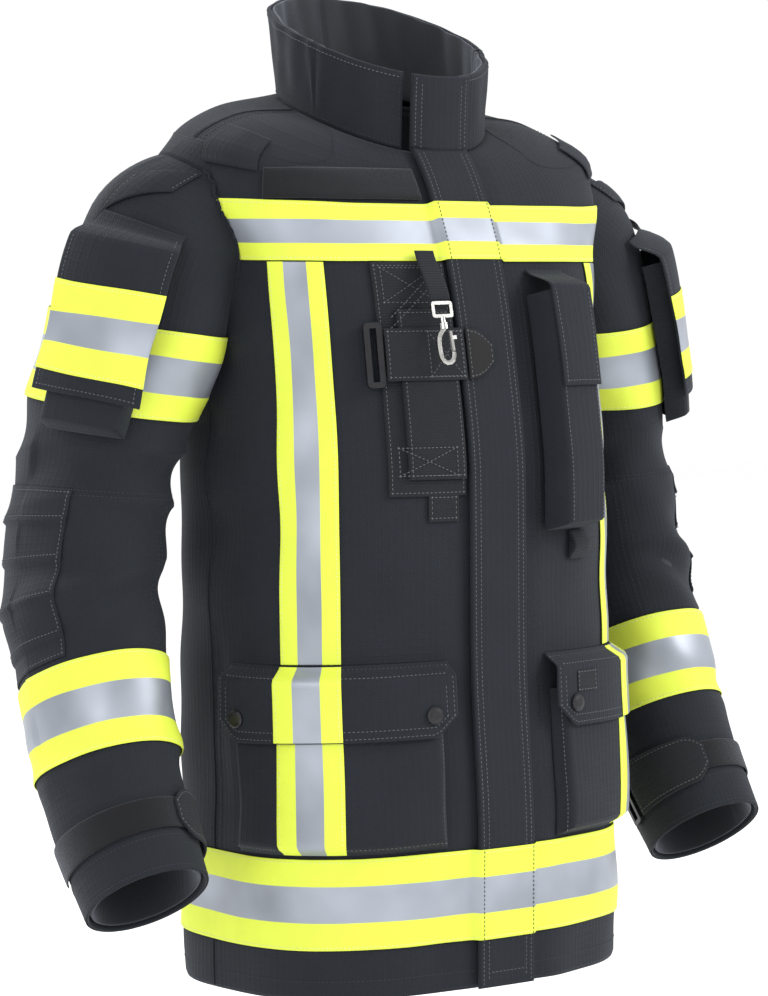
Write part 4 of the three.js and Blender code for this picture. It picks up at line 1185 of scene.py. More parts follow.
@dataclass
class Trim:
    """A run of reflective trim on a skin, its edges stitched and its piece dressed."""

    name: str
    skin: Skin
    across: tuple[float, float]
    up: tuple[Edge, Edge]
    lift: Lift = 1.1
    thick: float = 1.1
    body: str = COAT
    bend: int = 0
    closed: bool = False
    replaces: tuple[str, ...] = ()
    upright: bool = False
    keep: Callable[[Array], Array] | None = None
    edges: str = "bt"

    def build(self) -> None:
        """Builds the trim and its edge stitches."""

        def outer(a: Array, b: Array) -> Array:
            """Returns the lift of the trim's face."""
            base = self.lift(a, b) if callable(self.lift) else self.lift
            return base + self.thick

        cloth = Cloth(
            self.skin, self.across, self.up, self.lift, outer, step=3.6, closed=self.closed,
            keep=self.keep, band=not self.upright,
        )
        piece = cloth.piece(self.name)
        if self.upright:
            low, high = self.across
            layer = piece.data.uv_layers["UVMap"].data
            uv = np.empty(len(layer) * 2, np.float32)
            layer.foreach_get("uv", uv)
            uv = uv.reshape(-1, 2)
            share = (uv[:, 0] - low * self.skin.a_mm * MM) / ((high - low) * self.skin.a_mm * MM)
            layer.foreach_set("uv", np.stack([uv[:, 1], share], -1).astype(np.float32).ravel())
        Fitting(piece, FINISH.trim, "reflective_trim", self.body, self.replaces, self.bend).done()
        SEAMS.inset(cloth, 2.4, Thread.PALE, self.edges, 0.05, self.body, self.bend)


def storm_lift(a: Array, b: Array) -> Array:
    """Returns how high the trims ride where they cross the storm flap, at each place and height."""
    over = smoothstep(a, -STORM_RIGHT - 5, -STORM_RIGHT + 1)
    over = over * (1 - smoothstep(a, STORM_LEFT - 1, STORM_LEFT + 5))
    return 1.1 + (FLAP_FACE - 0.6) * over


@dataclass
class Shell:
    """The coat's body: outer cloth, liner and the seams that join the panels."""

    body_top: float = FRONT_LENGTH
    hem_stitch: float = 15.0

    def build(self) -> None:
        """Builds the shell, its lining and its seams."""
        outside = clear_of_sleeves(3.0)
        knots = np.concatenate([np.linspace(0, 640, 180), np.linspace(640, self.body_top, 40)[1:]])
        shares = knots / self.body_top
        girth = HALF_GIRTH
        spans = {
            "right": ((-SIDE_SEAM, -6.0), "front_right_panel"),
            "left": ((6.0, SIDE_SEAM), "front_left_panel"),
            "back": ((SIDE_SEAM, 2 * girth - SIDE_SEAM), "back_panel"),
        }
        for label, (span, node) in spans.items():
            cloth = Cloth(
                BODY, span, (0.0, self.body_top), -2.6, 0.0, step=3.4, up_knots=shares, keep=outside
            )
            name = f"shell_{label}_panel"
            Fitting(cloth.piece(name), FINISH.shell, "shell_cloth", COAT, (node,)).done()
            SEAMS.inset(cloth, self.hem_stitch, Thread.DARK, "b")
        self._seam_lines()
        liner = Cloth(
            BODY_PLAIN, (23.0, 2 * girth - 23.0), (14.0, 688.0), -9.2, -6.2, step=6.0, keep=outside
        )
        Fitting(liner.piece("quilted_lining"), FINISH.liner, "liner_cloth", COAT, ("body_liner",)).done()

    def _seam_lines(self) -> None:
        """Sews the side seams and the seams beside the front edge."""
        for side in (-1, 1):
            up = np.arange(2.0, 560, 5.0)
            for off in (-3.0, -9.0):
                line = BODY.at(side * (SIDE_SEAM + off), up, 0.15)
                SEAMS.add(line[~JOINS.inside_sleeve(line, -1.0)], Thread.DARK)
            ridge = BODY.at(side * SIDE_SEAM, up, 0.2)
            ridge = ridge[~JOINS.inside_sleeve(ridge, -1.0)]
            seam = tube(f"side_seam_{'right' if side < 0 else 'left'}", ridge, 0.9, 8)
            Fitting(seam, FINISH.shell, "shell_cloth").done()
        up = np.linspace(657.0, 688.0, 60)
        for side, (label, _) in zip((-1, 1), SIDES):
            ridge = tube(f"shoulder_seam_{label}", BODY.at(side * 270.0, up, 0.2), 0.9, 8)
            Fitting(ridge, FINISH.shell, "shell_cloth").done()
            for off in (264.0, 258.0):
                SEAMS.add(BODY.at(side * off, up, 0.2), Thread.DARK)
        for off in (STORM_LEFT + 14.0, STORM_LEFT + 20.0):
            SEAMS.add(BODY.at(off, np.arange(2.0, 686, 5.0), 0.15), Thread.DARK)


@dataclass
class Collar:
    """The standing collar with its lining and hanger loop."""

    low: float = 689.4
    lining_drop: float = 1.0

    def build(self) -> None:
        """Builds the collar."""
        end = 2 * HALF_GIRTH - 34.0
        shell = Cloth(BODY, (21.0, end), (self.low, COLLAR_TOP), -4.0, 0.6, step=3.2)
        Fitting(shell.piece("collar_outside"), FINISH.shell, "shell_cloth", COAT, ("collar_shell",)).done()
        SEAMS.inset(shell, 5.0, Thread.GREY, "t")
        SEAMS.inset(shell, 3.0, Thread.DARK, "brl")
        top = COLLAR_TOP - self.lining_drop
        lining = Cloth(BODY, (21.5, end - 0.5), (self.low, top), -6.9, -4.2, step=4.0)
        Fitting(lining.piece("collar_inside"), FINISH.liner, "liner_cloth", COAT, ("collar_liner",)).done()
        loop = Cloth(BODY, (HALF_GIRTH - 59, HALF_GIRTH + 59), (701.0, 709.0), -9.2, -7.4, step=4.0)
        Fitting(loop.piece("hanger_webbing"), FINISH.webbing, "webbing", COAT, ("hanger_loop",)).done()


@dataclass
class Closure:
    """The front closure: storm flap and zip."""

    right: float = STORM_RIGHT
    left: float = STORM_LEFT
    tooth_step: float = 3.0

    def build(self) -> None:
        """Builds the storm flap and the zip beneath it."""
        flap = Cloth(
            BODY, (-self.right, self.left), (0.0, COLLAR_TOP - 0.5), 2.6, FLAP_FACE, step=3.0,
            seams=(4.0, 9.0), seam_depth=0.5,
        )
        piece = flap.piece("storm_flap_cloth")
        Fitting(piece, FINISH.shell, "shell_cloth", COAT, ("storm_flap",)).done()
        for inset in (4.0, 9.0):
            SEAMS.inset(flap, inset, Thread.GREY, "lr", -0.25)
        SEAMS.inset(flap, 13.0, Thread.GREY, "b", -0.1)
        for label, side in SIDES:
            span = side_span(side, 1.5, 18.0)
            tape = Cloth(BODY_PLAIN, span, (41.0, 748.0), -5.6, -3.9, step=4.0)
            Fitting(tape.piece(f"zip_tape_cloth_{label}"), FINISH.webbing, "webbing", COAT,
                    (f"zip_tape_{label}",)).done()
        self._teeth()

    def _teeth(self) -> None:
        """Lays the zip's teeth along its tapes."""
        tree = StitchTree(self.tooth_step, 1.1, 2.6).make()
        up = np.arange(43.0, 740.0, 8.0)
        lines = [BODY_PLAIN.at(side * 1.2, up, -3.9) for side in (-1, 1)]
        points = np.concatenate(lines) * MM
        count = len(up)
        edges = [(k * count + i, k * count + i + 1) for k in (0, 1) for i in range(count - 1)]
        mesh = bpy.data.meshes.new("zip_lines")
        mesh.from_pydata(points.tolist(), edges, [])
        source = bpy.data.objects.new("zip_lines", mesh)
        bpy.context.scene.collection.objects.link(source)
        piece = run_tree(
            "zip_teeth", source, tree, Pitch=self.tooth_step * MM, Length=1.4 * MM, Width=2.6 * MM,
            Thread=FINISH.plastic,
        )
        Fitting(piece, FINISH.plastic, "black_plastic").done()


@dataclass
class BodyTrims:
    """The reflective trims round the chest and hem and down the fronts."""

    half: float = 25.0

    def build(self) -> None:
        """Builds the trims of the body."""
        outside = clear_of_sleeves(-0.8)
        for low, high, name in ((CHEST_LOW, CHEST_HIGH, "chest"), (HEM_TRIM_LOW, HEM_TRIM_HIGH, "hem")):
            Trim(
                f"{name}_trim_band", BODY, (-HALF_GIRTH, HALF_GIRTH), (low, high), storm_lift, 1.1,
                replaces=tuple(f"{name}_trim_{part}" for part in ("right", "left", "back")),
                closed=True, keep=outside if name == "chest" else None,
            ).build()
            for spot in (-STORM_RIGHT + 3, STORM_LEFT - 3):
                up = np.arange(low + 1, high - 1, 4.0)
                SEAMS.add(BODY.at(spot, up, FLAP_FACE + 1.9), Thread.DARK)
        for label, side in SIDES:
            span = side_span(side, FRONT_TRIM - self.half, FRONT_TRIM + self.half)
            Trim(f"front_trim_{label}_band", BODY, span, (HIP_FLAP_TOP + 1, CHEST_LOW - 1),
                 upright=True, replaces=(f"front_trim_{label}",), edges="lr").build()


def hollow(face: Callable[[Array, Array], Array], wall: float) -> Callable[[Array, Array], Array]:
    """Returns the inner lift of a pouch whose wall follows its face and leaves room inside."""
    return lambda a, b: np.maximum(face(a, b) - wall, 0.4)


@dataclass
class HipPocket:
    """A hip pocket with its flap and the trim that runs over both; its two studs stay the frame's own parts.
    """

    side: int
    label: str
    near: float = 56.0
    far: float = 236.0
    low: float = 119.0
    high: float = 242.0
    depth: float = 12.8
    wall: float = 1.5
    chamfer: float = 18.0

    def _depth(self, a: Array, b: Array) -> Array:
        """Returns the pocket's face, rounded towards its sides and its foot."""
        far = np.abs(a)
        edge = np.minimum(np.minimum(far - self.near, self.far - far), b - self.low)
        round_off = smoothstep(edge, -1.0, 9.0)
        sag = 1.0 + 0.10 * np.sin(far / 17.0 + b / 40.0)
        return 1.5 + (self.depth - 1.5) * round_off * sag

    def _face(self, a: Array, b: Array) -> Array:
        """Returns the lift of the flap's outer face."""
        return self._under(a, b) + 2.5

    @staticmethod
    def _under(a: Array, b: Array) -> Array:
        """Returns the lift of the flap's inner face."""
        return 0.8 + 14.4 * smoothstep(HIP_FLAP_TOP - b, 0, 12)

    def build(self) -> None:
        """Builds the pocket, its flap and its trims."""
        span = side_span(self.side, self.near, self.far)
        pocket = Cloth(
            BODY, span, (self.low, self.high), hollow(self._depth, self.wall), self._depth, step=3.0,
            seams=(5.0,), seam_depth=0.4,
        )
        name = f"hip_pocket_{self.label}_pouch"
        Fitting(pocket.piece(name), FINISH.shell, "shell_cloth", COAT, (f"hip_pocket_{self.label}",)).done()
        SEAMS.inset(pocket, 5.0, Thread.GREY, "blr", -0.2)
        self._flap()
        body = f"hip_flap_{self.label}"
        trim = side_span(self.side, FRONT_TRIM - 25, FRONT_TRIM + 25)
        Trim(f"hip_flap_{self.label}_trim", BODY, trim, (210.8, HIP_FLAP_TOP - 0.5), self._face, 1.1,
             body=body, upright=True, edges="lr").build()
        Trim(f"hip_pocket_{self.label}_trim", BODY, trim, (self.low + 0.5, self.high - 1),
             self._depth, 1.1, upright=True, edges="lr").build()

    def _flap(self) -> None:
        """Builds the flap with its cut corners."""
        near, far = 50.0, 242.0
        span = side_span(self.side, near, far)

        def foot(a: Array) -> Array:
            """Returns the flap's lower edge, cut at its corners."""
            edge = np.minimum(np.abs(a) - near, far - np.abs(a))
            return 210.0 + np.clip(self.chamfer - edge, 0, None)

        flap = Cloth(
            BODY, span, (foot, HIP_FLAP_TOP), self._under, self._face, step=3.0,
            seams=(3.0, 9.0), seam_depth=0.4,
        )
        body = f"hip_flap_{self.label}"
        Fitting(flap.piece(f"{body}_cloth"), FINISH.shell, "shell_cloth", body, (body,)).done()
        for inset in (3.0, 9.0):
            SEAMS.inset(flap, inset, Thread.GREY, "btlr", -0.2, body)
        if self.side > 0:
            tag = Cloth(BODY, (72.0, 96.0), (238.0, 256.0), lambda a, b: self._face(a, b) + 0.05,
                        lambda a, b: self._face(a, b) + 0.9, step=3.0)
            Fitting(tag.piece("plain_tag"), FINISH.webbing, "webbing", body).done()
            SEAMS.inset(tag, 1.4, Thread.GREY, "btlr", 0.0, body)


@dataclass
class RadioPocket:
    """The tall chest pocket with its flap and cord loop."""

    near: float = 48.0
    far: float = 102.0
    low: float = 375.0
    high: float = 569.0
    depth: float = 27.2
    wall: float = 1.8
    flap_across: tuple[float, float] = (53.6, 96.4)
    flap_low: float = 491.0
    flap_top: float = 591.0
    loop_across: tuple[float, float] = (80.0, 102.0)
    loop_up: tuple[float, float] = (349.4, 373.2)

    def _face(self, a: Array, b: Array) -> Array:
        """Returns the pocket's face, rounded at its edges."""
        edge = np.minimum(np.minimum(a - self.near, self.far - a), b - self.low)
        return 1.4 + self.depth * smoothstep(edge, -3.0, 8.0)

    def build(self) -> None:
        """Builds the pocket, its flap and the cord loop under it."""
        span, up = (self.near, self.far), (self.low, self.high)
        pocket = Cloth(BODY, span, up, hollow(self._face, self.wall), self._face, step=2.0)
        pouch = pocket.piece("radio_pocket_pouch")
        Fitting(pouch, FINISH.shell, "shell_cloth", COAT, ("radio_pocket",)).done()
        SEAMS.inset(pocket, 9.5, Thread.GREY, "lr", 0.1)

        def under(a: Array, b: Array) -> Array:
            """Returns the lift of the flap's inner face."""
            return 1.0 + 28.6 * smoothstep(self.flap_top - b, 0, 20)

        up = (self.flap_low, self.flap_top)
        flap = Cloth(BODY, self.flap_across, up, under, lambda a, b: under(a, b) + 2.5,
                     step=2.6, seams=(4.0,), seam_depth=0.4)
        cover = flap.piece("radio_flap_cloth")
        Fitting(cover, FINISH.shell, "shell_cloth", "radio_flap", ("radio_flap",)).done()
        SEAMS.inset(flap, 4.0, Thread.GREY, "blr", -0.2, "radio_flap")
        loop = Cloth(BODY, self.loop_across, self.loop_up, 0.8,
                     lambda a, b: 2.4 + 7.2 * bump(b, 361.0, 9.0), step=2.4, seams=(3.0,))
        cord_loop = loop.piece("radio_cord_webbing")
        Fitting(cord_loop, FINISH.webbing, "webbing", COAT, ("radio_cord_loop",)).done()


@dataclass
class Holder:
    """The chest holder: panel, pouch, strap, leather tab and hook webbing."""

    panel: tuple[float, float, float, float] = (-100.0, -31.0, 407.0, 597.0)
    loop: tuple[float, float, float, float] = (-66.0, -38.0, 386.0, 409.0)
    pouch: tuple[float, float, float, float] = (-84.0, -33.0, 421.0, 558.0)
    strap: tuple[float, float, float, float] = (-97.0, -26.4, 500.0, 542.0)
    hook_top: float = 604.0

    def build(self) -> None:
        """Builds the cloth and leather of the holder."""
        self._cloth("holder_panel_cloth", self.panel, 0.8, 3.0, "holder_panel", 3.0)
        self._cloth("holder_panel_loop", self.loop, 1.0, 2.6, "", 3.0)
        self._cloth("holder_pouch_cloth", self.pouch, 3.1, 7.7, "holder_pouch", 3.0)
        self._cloth("holder_strap_cloth", self.strap, 8.4, 10.7, "holder_strap", 2.5)
        for low, high in ((564.0, 592.0), (424.0, 446.0)):
            self._cross((-92.0, -42.0), (low, high), 8.4 if low < 500 else 3.3)
        self._cross((-60.0, -30.0), (503.0, 539.0), 10.9)
        self._tab()
        self._slope()

        def inner(a: Array, b: Array) -> Array:
            """Returns the lift of the webbing's inner face."""
            return 8.1 + 12.6 * smoothstep(self.hook_top - b, 0, 42)

        up = (self.hook_top - 42.0, self.hook_top)
        cloth = Cloth(BODY, (-61.0, -43.0), up, inner, lambda a, b: inner(a, b) + 2.0, step=2.6)
        Fitting(cloth.piece("hook_webbing_cloth"), FINISH.webbing, "webbing", COAT, ("hook_webbing",)).done()

    def _cloth(self, name: str, span: tuple[float, float, float, float], low: float, high: float,
               node: str, seam: float) -> None:
        """Builds one flat webbing part with a line of stitches inside its edge.

        Args:
            name: The piece's name.
            span: Its ends along the body, then its lowest and highest heights.
            low: Lift of its inner face.
            high: Lift of its outer face.
            node: The frame's node that it stands for, or nothing.
            seam: Distance of its sewn channel from the edge.
        """
        cloth = Cloth(BODY, span[:2], span[2:], low, high, step=2.8, seams=(seam,), seam_depth=0.3)
        Fitting(cloth.piece(name), FINISH.webbing, "webbing", COAT, (node,) if node else ()).done()
        SEAMS.inset(cloth, seam, Thread.GREY, "btlr", -0.1)

    @staticmethod
    def _cross(across: tuple[float, float], up: tuple[float, float], lift: float) -> None:
        """Sews a rectangle with a cross in it."""
        (a0, a1), (b0, b1) = across, up
        for (x0, y0), (x1, y1) in (
            ((a0, b0), (a1, b0)), ((a1, b0), (a1, b1)), ((a1, b1), (a0, b1)), ((a0, b1), (a0, b0)),
            ((a0, b0), (a1, b1)), ((a0, b1), (a1, b0)),
        ):
            share = np.linspace(0, 1, 14)
            SEAMS.add(BODY.at(x0 + (x1 - x0) * share, y0 + (y1 - y0) * share, lift), Thread.GREY)

    @staticmethod
    def _slope() -> None:
        """Sews the edges of the strap that slopes up to the hook."""
        share = np.linspace(0, 1, 22)
        for offset in (-7.0, 7.0):
            line = BODY.at(-92 + 40 * share + offset * 0.5, 545 + 34 * share + offset, 8.3)
            SEAMS.add(line, Thread.GREY)

    @staticmethod
    def _tab() -> None:
        """Builds the leather tab with its rounded end."""

        def half(a: Array) -> Array:
            """Returns half the tab's height towards its rounded end."""
            share = np.clip((a + 24.6) / 26.6, 0, 1)
            return 21.0 * (1 - 0.72 * share**2.4)

        tab = Cloth(BODY, (-24.6, 2.0), (lambda a: 521 - half(a), lambda a: 521 + half(a)), 8.4, 10.8,
                    step=2.2, seams=(2.5,), seam_depth=0.35)
        piece = tab.piece("holder_tab_leather")
        Fitting(piece, FINISH.leather, "leather", "holder_tab", ("holder_tab",)).done()
        SEAMS.inset(tab, 2.5, Thread.GREY, "btlr", -0.1, "holder_tab")


@dataclass
class Sleeve:
    """One sleeve: cloth, cuff, trims, pocket, strap and tabs."""

    side: int
    label: str
    upper_trim: tuple[float, float] = (477.0, 549.0)
    lower_trim: tuple[float, float] = (186.0, 258.0)
    pocket_turn: float = 38.0
    pocket_half: float = 25.4
    pocket_up: tuple[float, float] = (458.0, 598.0)
    flap_half: float = 27.4
    flap_up: tuple[float, float] = (486.0, 618.0)
    flap_trim: tuple[float, float] = (500.0, 572.0)
    strap_middle: float = 128.0
    tape_half: float = 12.0
    pleats: tuple[float, ...] = (380.0, 348.0, 312.0, 280.0)

    @property
    def skin(self) -> Skin:
        """The sleeve's surface."""
        return SLEEVES[self.side]

    @property
    def forearm(self) -> str:
        """The body that the lower sleeve moves with."""
        return f"forearm_{self.label}"

    def build(self) -> None:
        """Builds everything on the sleeve."""
        self._cloth()
        self._shoulder()
        self._trims()
        self._cuff()
        self._pocket()
        self._elbow()
        self._seams()

    def _cloth(self) -> None:
        """Builds the sleeve's cloth as one piece from cuff to shoulder."""
        outside = clear_of_body(4.0)
        cloth = Cloth(self.skin, (0.0, 360.0), (CUFF, SHOULDER_START), -2.8, 0.0, step=3.4, closed=True,
                      keep=outside)
        piece = cloth.piece(f"sleeve_{self.label}_cloth")
        nodes = (f"upper_sleeve_{self.label}", f"forearm_{self.label}")
        Fitting(piece, FINISH.shell, "shell_cloth", instead_of=nodes, bend=self.side).done()

    def _shoulder(self) -> None:
        """Closes the sleeve's last ring onto the shoulder."""
        _, run = JOINS.top_ring(self.side)
        turn = np.linspace(0, 360, 121)[:-1]
        edge = self.skin.at(turn, SHOULDER_START - 4.0, 0.2)
        rows = []
        ends = []
        for point in edge:
            spot, normal, _, _ = JOINS.body.find_nearest((point + run * 26.0).tolist())
            out = np.asarray(normal)
            out = out if np.dot(out, np.asarray(spot) - np.array([0.0, 20.0, -130.0])) > 0 else -out
            ends.append(np.asarray(spot) + out * 0.4)
        ends = np.array(ends)
        middles = (edge + run * 11.0 + ends) / 2
        for t in np.linspace(0, 1, 9):
            rows.append(edge * (1 - t) ** 2 + middles * 2 * t * (1 - t) + ends * t * t)
        outside = np.stack(rows, axis=1)
        centre = edge.mean(axis=0)
        inward = centre - outside
        inward /= np.linalg.norm(inward, axis=2, keepdims=True)
        columns, count = outside.shape[:2]
        ids = np.arange(columns * count).reshape(columns, count)
        right = np.roll(ids, -1, axis=0)
        quads = np.stack([ids[:, :-1], right[:, :-1], right[:, 1:], ids[:, 1:]], -1).reshape(-1, 4)
        flat = outside.reshape(-1, 3)
        first = flat[quads[0]]
        facing = np.cross(first[1] - first[0], first[3] - first[0])
        if np.dot(facing, first[0] - centre) < 0:
            quads = quads[:, ::-1]
        faces = Cloth._closed_faces(quads, len(flat))
        points = np.concatenate([flat, flat + inward.reshape(-1, 3) * 1.6])
        along = np.broadcast_to(turn[:, None] * 1.2 * MM, (columns, count))
        across = np.broadcast_to(np.linspace(0, 0.03, count)[None], (columns, count))
        uv = np.stack([along, across], -1).reshape(-1, 2)
        piece = new_piece(f"sleeve_head_{self.label}", points, faces, np.tile(uv, (2, 1)))
        Fitting(piece, FINISH.shell, "shell_cloth").done()

    def _trims(self) -> None:
        """Builds the two bands of trim."""
        Trim(f"upper_sleeve_{self.label}_band", self.skin, (0.0, 360.0), self.upper_trim, closed=True,
             replaces=(f"upper_sleeve_trim_{self.label}",)).build()
        Trim(f"lower_sleeve_{self.label}_band", self.skin, (0.0, 360.0), self.lower_trim, closed=True,
             body=self.forearm, replaces=(f"lower_sleeve_trim_{self.label}",)).build()

    def _cuff(self) -> None:
        """Builds the cuff's loop tape, strap and inner lining."""
        up = (self.strap_middle - self.tape_half, self.strap_middle + self.tape_half)
        tape = Cloth(self.skin, (-36.0, 180.0), up, 1.2, 3.0, step=3.0)
        Fitting(tape.piece(f"cuff_tape_{self.label}"), FINISH.loop, "hook_loop_tape", self.forearm,
                (f"cuff_loop_tape_{self.label}",)).done()

        def half(a: Array) -> Array:
            """Returns half the strap's height towards its rounded end."""
            share = np.clip((124.0 - a) / 18.0, 0, 1)
            return 20.0 * (1 - 0.62 * share**2)

        middle = self.strap_middle
        edges = (lambda a: middle - half(a), lambda a: middle + half(a))
        strap = Cloth(
            self.skin, (106.0, 184.0), edges, 3.5, 6.0, step=2.6, seams=(3.0,), seam_depth=0.35
        )
        body = f"cuff_strap_{self.label}"
        Fitting(strap.piece(f"{body}_webbing"), FINISH.webbing, "webbing", body, (body,)).done()
        SEAMS.inset(strap, 3.0, Thread.GREY, "btlr", -0.1, body)
        inside = Cloth(SLEEVE_PLAIN[self.side], (0.0, 360.0), (CUFF + 2.0, 330.0), -7.5, -5.0, step=5.0,
                       closed=True)
        Fitting(inside.piece(f"cuff_lining_{self.label}"), FINISH.liner, "liner_cloth", self.forearm).done()
        hem = Cloth(self.skin, (0.0, 360.0), (CUFF, CUFF + 26.0), 0.0, 0.7, step=3.4, closed=True)
        Fitting(hem.piece(f"cuff_hem_{self.label}"), FINISH.shell, "shell_cloth", self.forearm).done()
        SEAMS.inset(hem, 3.0, Thread.DARK, "bt", 0.05, self.forearm)

    def _pocket(self) -> None:
        """Builds the pocket on the upper sleeve, its flap and the flap's trim."""
        middle = self.pocket_turn

        def face(a: Array, b: Array) -> Array:
            """Returns the pocket's face, rounded at its edges."""
            sideways = (self.pocket_half - np.abs(a - middle)) * self.skin.a_mm
            edge = np.minimum(sideways, b - self.pocket_up[0])
            return 3.0 + 21.6 * smoothstep(edge, -3.0, 8.0)

        span = (middle - self.pocket_half, middle + self.pocket_half)
        pocket = Cloth(self.skin, span, self.pocket_up, hollow(face, 1.8), face, step=2.0)
        name = f"sleeve_pocket_{self.label}"
        Fitting(pocket.piece(f"{name}_pouch"), FINISH.shell, "shell_cloth", COAT, (name,)).done()

        def under(a: Array, b: Array) -> Array:
            """Returns the lift of the flap's inner face."""
            return 3.2 + 23.2 * smoothstep(self.flap_up[1] - b, 0, 17)

        body = f"sleeve_flap_{self.label}"
        flap_span = (middle - self.flap_half, middle + self.flap_half)
        flap = Cloth(self.skin, flap_span, self.flap_up, under, lambda a, b: under(a, b) + 2.5, step=2.8,
                     seams=(4.0,), seam_depth=0.4)
        Fitting(flap.piece(f"{body}_cloth"), FINISH.shell, "shell_cloth", body, (body,)).done()
        SEAMS.inset(flap, 4.0, Thread.GREY, "blr", -0.2, body)
        Trim(f"{body}_trim", self.skin, flap_span, self.flap_trim, lambda a, b: under(a, b) + 2.5, 1.1,
             body=body).build()

    def _elbow(self) -> None:
        """Builds the pleated elbow patch and the small tab above the sleeve's flap."""
        def face(a: Array, b: Array) -> Array:
            """Returns the patch's face with a lip at each pleat."""
            lift = np.full(b.shape, 1.6)
            for pleat in self.pleats:
                above = b - pleat
                lift = lift + 2.8 * smoothstep(above, -0.8, 0.8) * np.exp(-np.clip(above, 0, None) / 9.0)
            return lift

        patch = Cloth(self.skin, (-104.0, 38.0), (263.0, 409.0), 0.1, face, step=2.2, seams=(3.0,))
        piece = patch.piece(f"elbow_patch_{self.label}")
        Fitting(piece, FINISH.shell, "shell_cloth", bend=self.side).done()
        SEAMS.inset(patch, 3.0, Thread.GREY, "blrt", -0.1, bend=self.side)
        turn = np.linspace(-100, 34, 60)
        for pleat in self.pleats:
            line = self.skin.at(turn, pleat + 5.0, 3.5)
            SEAMS.add(line, Thread.GREY, bend=self.side)
        tab = Cloth(
            self.skin, (6.0, 38.0), (lambda a: 614 + a * 0.5, lambda a: 630 + a * 0.5), 0.4,
            lambda a, b: 2.2 + 1.6 * bump(np.abs(a - 22.0), 0, 11), step=2.2, seams=(2.0,),
        )
        Fitting(tab.piece(f"sleeve_tab_{self.label}"), FINISH.shell, "shell_cloth").done()
        SEAMS.inset(tab, 2.4, Thread.GREY, "lr", 0.0)

    def _seams(self) -> None:
        """Sews the armhole and the elbow seam."""
        hole = JOINS.armhole(self.side, 0.6)
        piece = tube(f"armhole_seam_{self.label}", hole, 1.6, 8, closed=True)
        Fitting(piece, FINISH.shell, "shell_cloth").done()
        turn = np.linspace(0, 360, 100)
        for up in (404.0, 409.0):
            SEAMS.add(self.skin.at(turn, up, 0.15), Thread.DARK, bend=self.side)
        up = np.arange(262.0, 402.0, 5.0)
        for at in (22.0, 118.0):
            for off in (0.0, 5.0):
                SEAMS.add(self.skin.at(at + off, up, 0.15), Thread.DARK, bend=self.side)


@dataclass
class SmallParts:
    """The name patch and the tabs sewn to the shoulders."""

    patch_across: tuple[float, float] = (-185.0, -37.0)
    patch_half: float = 12.5
    tab_half: float = 29.0
    tab_up: tuple[float, float] = (656.0, 669.6)

    def build(self) -> None:
        """Builds the patch and the tabs."""
        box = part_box("name_patch")
        low, high = np.array(box[0]) / MM, np.array(box[1]) / MM
        middle = (low[2] + high[2]) / 2 + NECK_HEIGHT
        spots = np.linspace(*self.patch_across, 120)
        rows = (middle - self.patch_half, middle + self.patch_half)
        edges = [np.array([self._up_at(s, level) for s in spots]) for level in rows]
        low_edge, high_edge = (lambda a, line=line: np.interp(a, spots, line) for line in edges)
        patch = Cloth(BODY, self.patch_across, (low_edge, high_edge), 0.6, 4.6, step=2.4)
        Fitting(patch.piece("name_patch_loop"), FINISH.loop, "hook_loop_tape", COAT, ("name_patch",)).done()
        for label, side in SIDES:
            spot = 0.8 * SIDE_SEAM
            span = side_span(side, spot - self.tab_half, spot + self.tab_half)
            tab = Cloth(
                BODY, span, self.tab_up, 1.2,
                lambda a, b: 3.4 + 1.2 * bump(np.abs(np.abs(a) - spot), 0, 14), step=2.2, seams=(2.0,),
            )
            Fitting(tab.piece(f"shoulder_tab_{label}_cloth"), FINISH.shell, "shell_cloth", COAT,
                    (f"shoulder_tab_{label}",)).done()

    @staticmethod
    def _up_at(s: float, level: float) -> float:
        """Returns the ring whose cloth lies at a level, at one place along the front."""
        ups = np.linspace(600.0, 688.0, 200)
        heights = BODY_PLAIN.at(s, ups, 0.0)[:, 2] + NECK_HEIGHT
        return float(np.interp(level, heights, ups))


@dataclass
class Metalwork:
    """The frame's own hard parts, which keep their shape and get a better finish."""

    def build(self) -> None:
        """Gives each hard part its finish."""
        plan = {
            "zip_slider": FINISH.black_metal,
            "holder_ring": FINISH.black_metal,
            "hook_eye": FINISH.nickel,
            "hook_body": FINISH.nickel,
            "hook_gate": FINISH.nickel,
        }
        for label, _ in SIDES:
            for part in ("hip_snap_inner", "hip_snap_outer", "cuff_ring"):
                plan[f"{part}_{label}"] = FINISH.black_metal
        for node, finish in plan.items():
            for slot in bpy.data.objects[node].material_slots:
                slot.material = finish
            log.info("%s: finished", node)


# ---- Stage ----


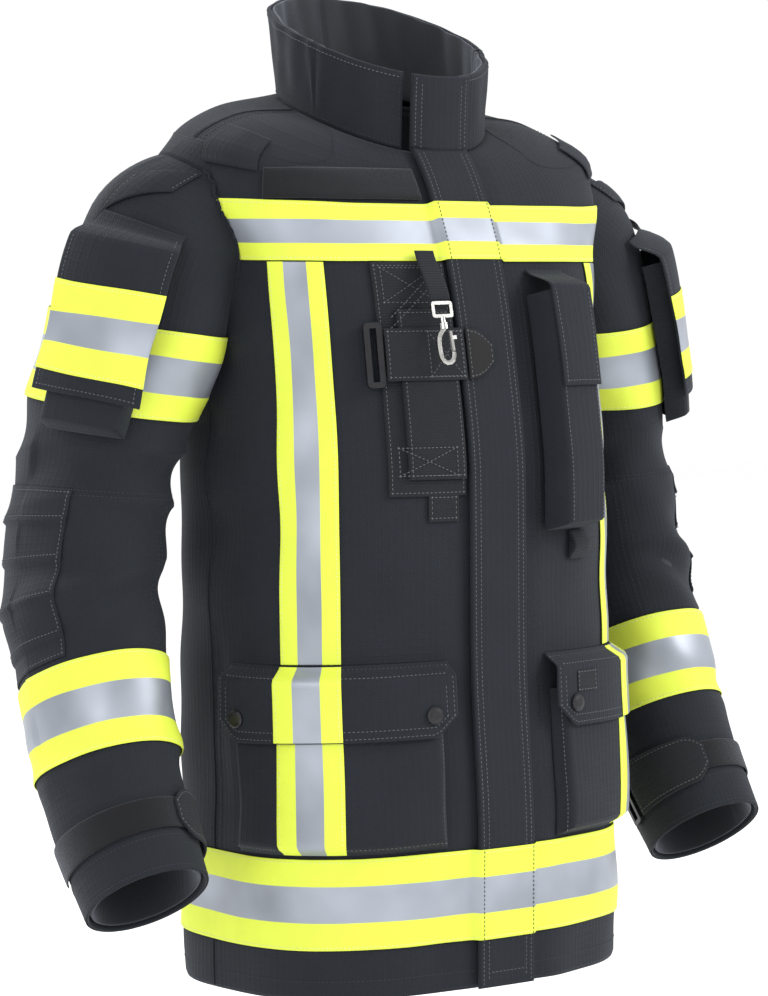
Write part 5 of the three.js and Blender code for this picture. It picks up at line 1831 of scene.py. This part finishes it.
@dataclass
class Studio:
    """The floor, the lights and the camera."""

    azimuth: float = -35.0
    elevation: float = 3.7
    distance: float = 2.8
    middle: tuple[float, float, float] = (0.0, 0.0, -0.354)
    lens: float = 117.5
    shift: float = -0.013
    floor: float = -0.97

    def build(self) -> None:
        """Builds the floor, the lights and the camera."""
        self._floor()
        self._light("key", (2.3, -2.4, 1.5), 80.0, 1.5)
        self._light("fill", (-2.6, -1.6, 0.9), 26.0, 1.6)
        self._light("rim", (-1.2, 2.4, 2.0), 60.0, 1.6)
        bpy.context.scene.view_settings.view_transform = "Standard"
        world = bpy.context.scene.world or bpy.data.worlds.new("soft_room")
        bpy.context.scene.world = world
        world.use_nodes = True
        background = next(n for n in world.node_tree.nodes if n.type == "BACKGROUND")
        background.inputs["Color"].default_value = (1.0, 1.0, 1.0, 1)
        background.inputs["Strength"].default_value = 1.02
        self._camera()

    def _floor(self) -> None:
        """Builds a wide pale floor."""
        half = 9.0
        points = [(x, y, self.floor) for x, y in ((-half, -half), (half, -half), (half, half), (-half, half))]
        faces = [(0, 1, 2, 3)]
        mesh = bpy.data.meshes.new("studio_floor")
        mesh.from_pydata(points, [], faces)
        floor = bpy.data.objects.new("studio_floor", mesh)
        bpy.context.scene.collection.objects.link(floor)
        t, shader = blank("studio_paper")
        shader.inputs["Base Color"].default_value = (0.97, 0.97, 0.97, 1)
        shader.inputs["Roughness"].default_value = 0.9
        mesh.materials.append(t.material)

    @staticmethod
    def _light(name: str, spot: tuple[float, float, float], power: float, size: float) -> None:
        """Adds one soft square light aimed at the coat."""
        data = bpy.data.lights.new(name, "AREA")
        data.energy, data.size = power, size
        lamp = bpy.data.objects.new(name, data)
        lamp.location = spot
        aim = Vector((0.0, 0.0, -0.35)) - Vector(spot)
        lamp.rotation_euler = aim.to_track_quat("-Z", "Y").to_euler()
        bpy.context.scene.collection.objects.link(lamp)

    def _camera(self) -> None:
        """Adds the camera."""
        az, el = math.radians(self.azimuth), math.radians(self.elevation)
        back = Vector((math.sin(az) * math.cos(el), -math.cos(az) * math.cos(el), math.sin(el)))
        data = bpy.data.cameras.new("camera")
        data.lens, data.sensor_width, data.shift_x = self.lens, 36.0, self.shift
        camera = bpy.data.objects.new("camera", data)
        camera.location = Vector(self.middle) + back * self.distance
        camera.rotation_euler = (-back).to_track_quat("-Z", "Y").to_euler()
        bpy.context.scene.collection.objects.link(camera)
        bpy.context.scene.camera = camera


def write_sizes() -> None:
    """Writes nothing: it only defines a helper that turns a box into plain lists of numbers.
    """
    def plain(box: Sequence) -> list:
        """Returns a box as plain lists of numbers."""
        return [[float(v) for v in corner] for corner in box]


def main() -> None:
    """Builds the coat and the studio around it."""
    logging.basicConfig(level=logging.INFO, format="%(message)s")
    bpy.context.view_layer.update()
    Studio().build()
    assemblies = [Shell(), Collar(), Closure(), BodyTrims()]
    assemblies += [HipPocket(side, label) for label, side in SIDES]
    assemblies += [RadioPocket(), Holder()]
    assemblies += [Sleeve(side, label) for label, side in SIDES]
    assemblies += [SmallParts(), Metalwork()]
    for assembly in assemblies:
        assembly.build()
    SEAMS.sew()
    write_sizes()


if __name__ == "__main__":
    main()
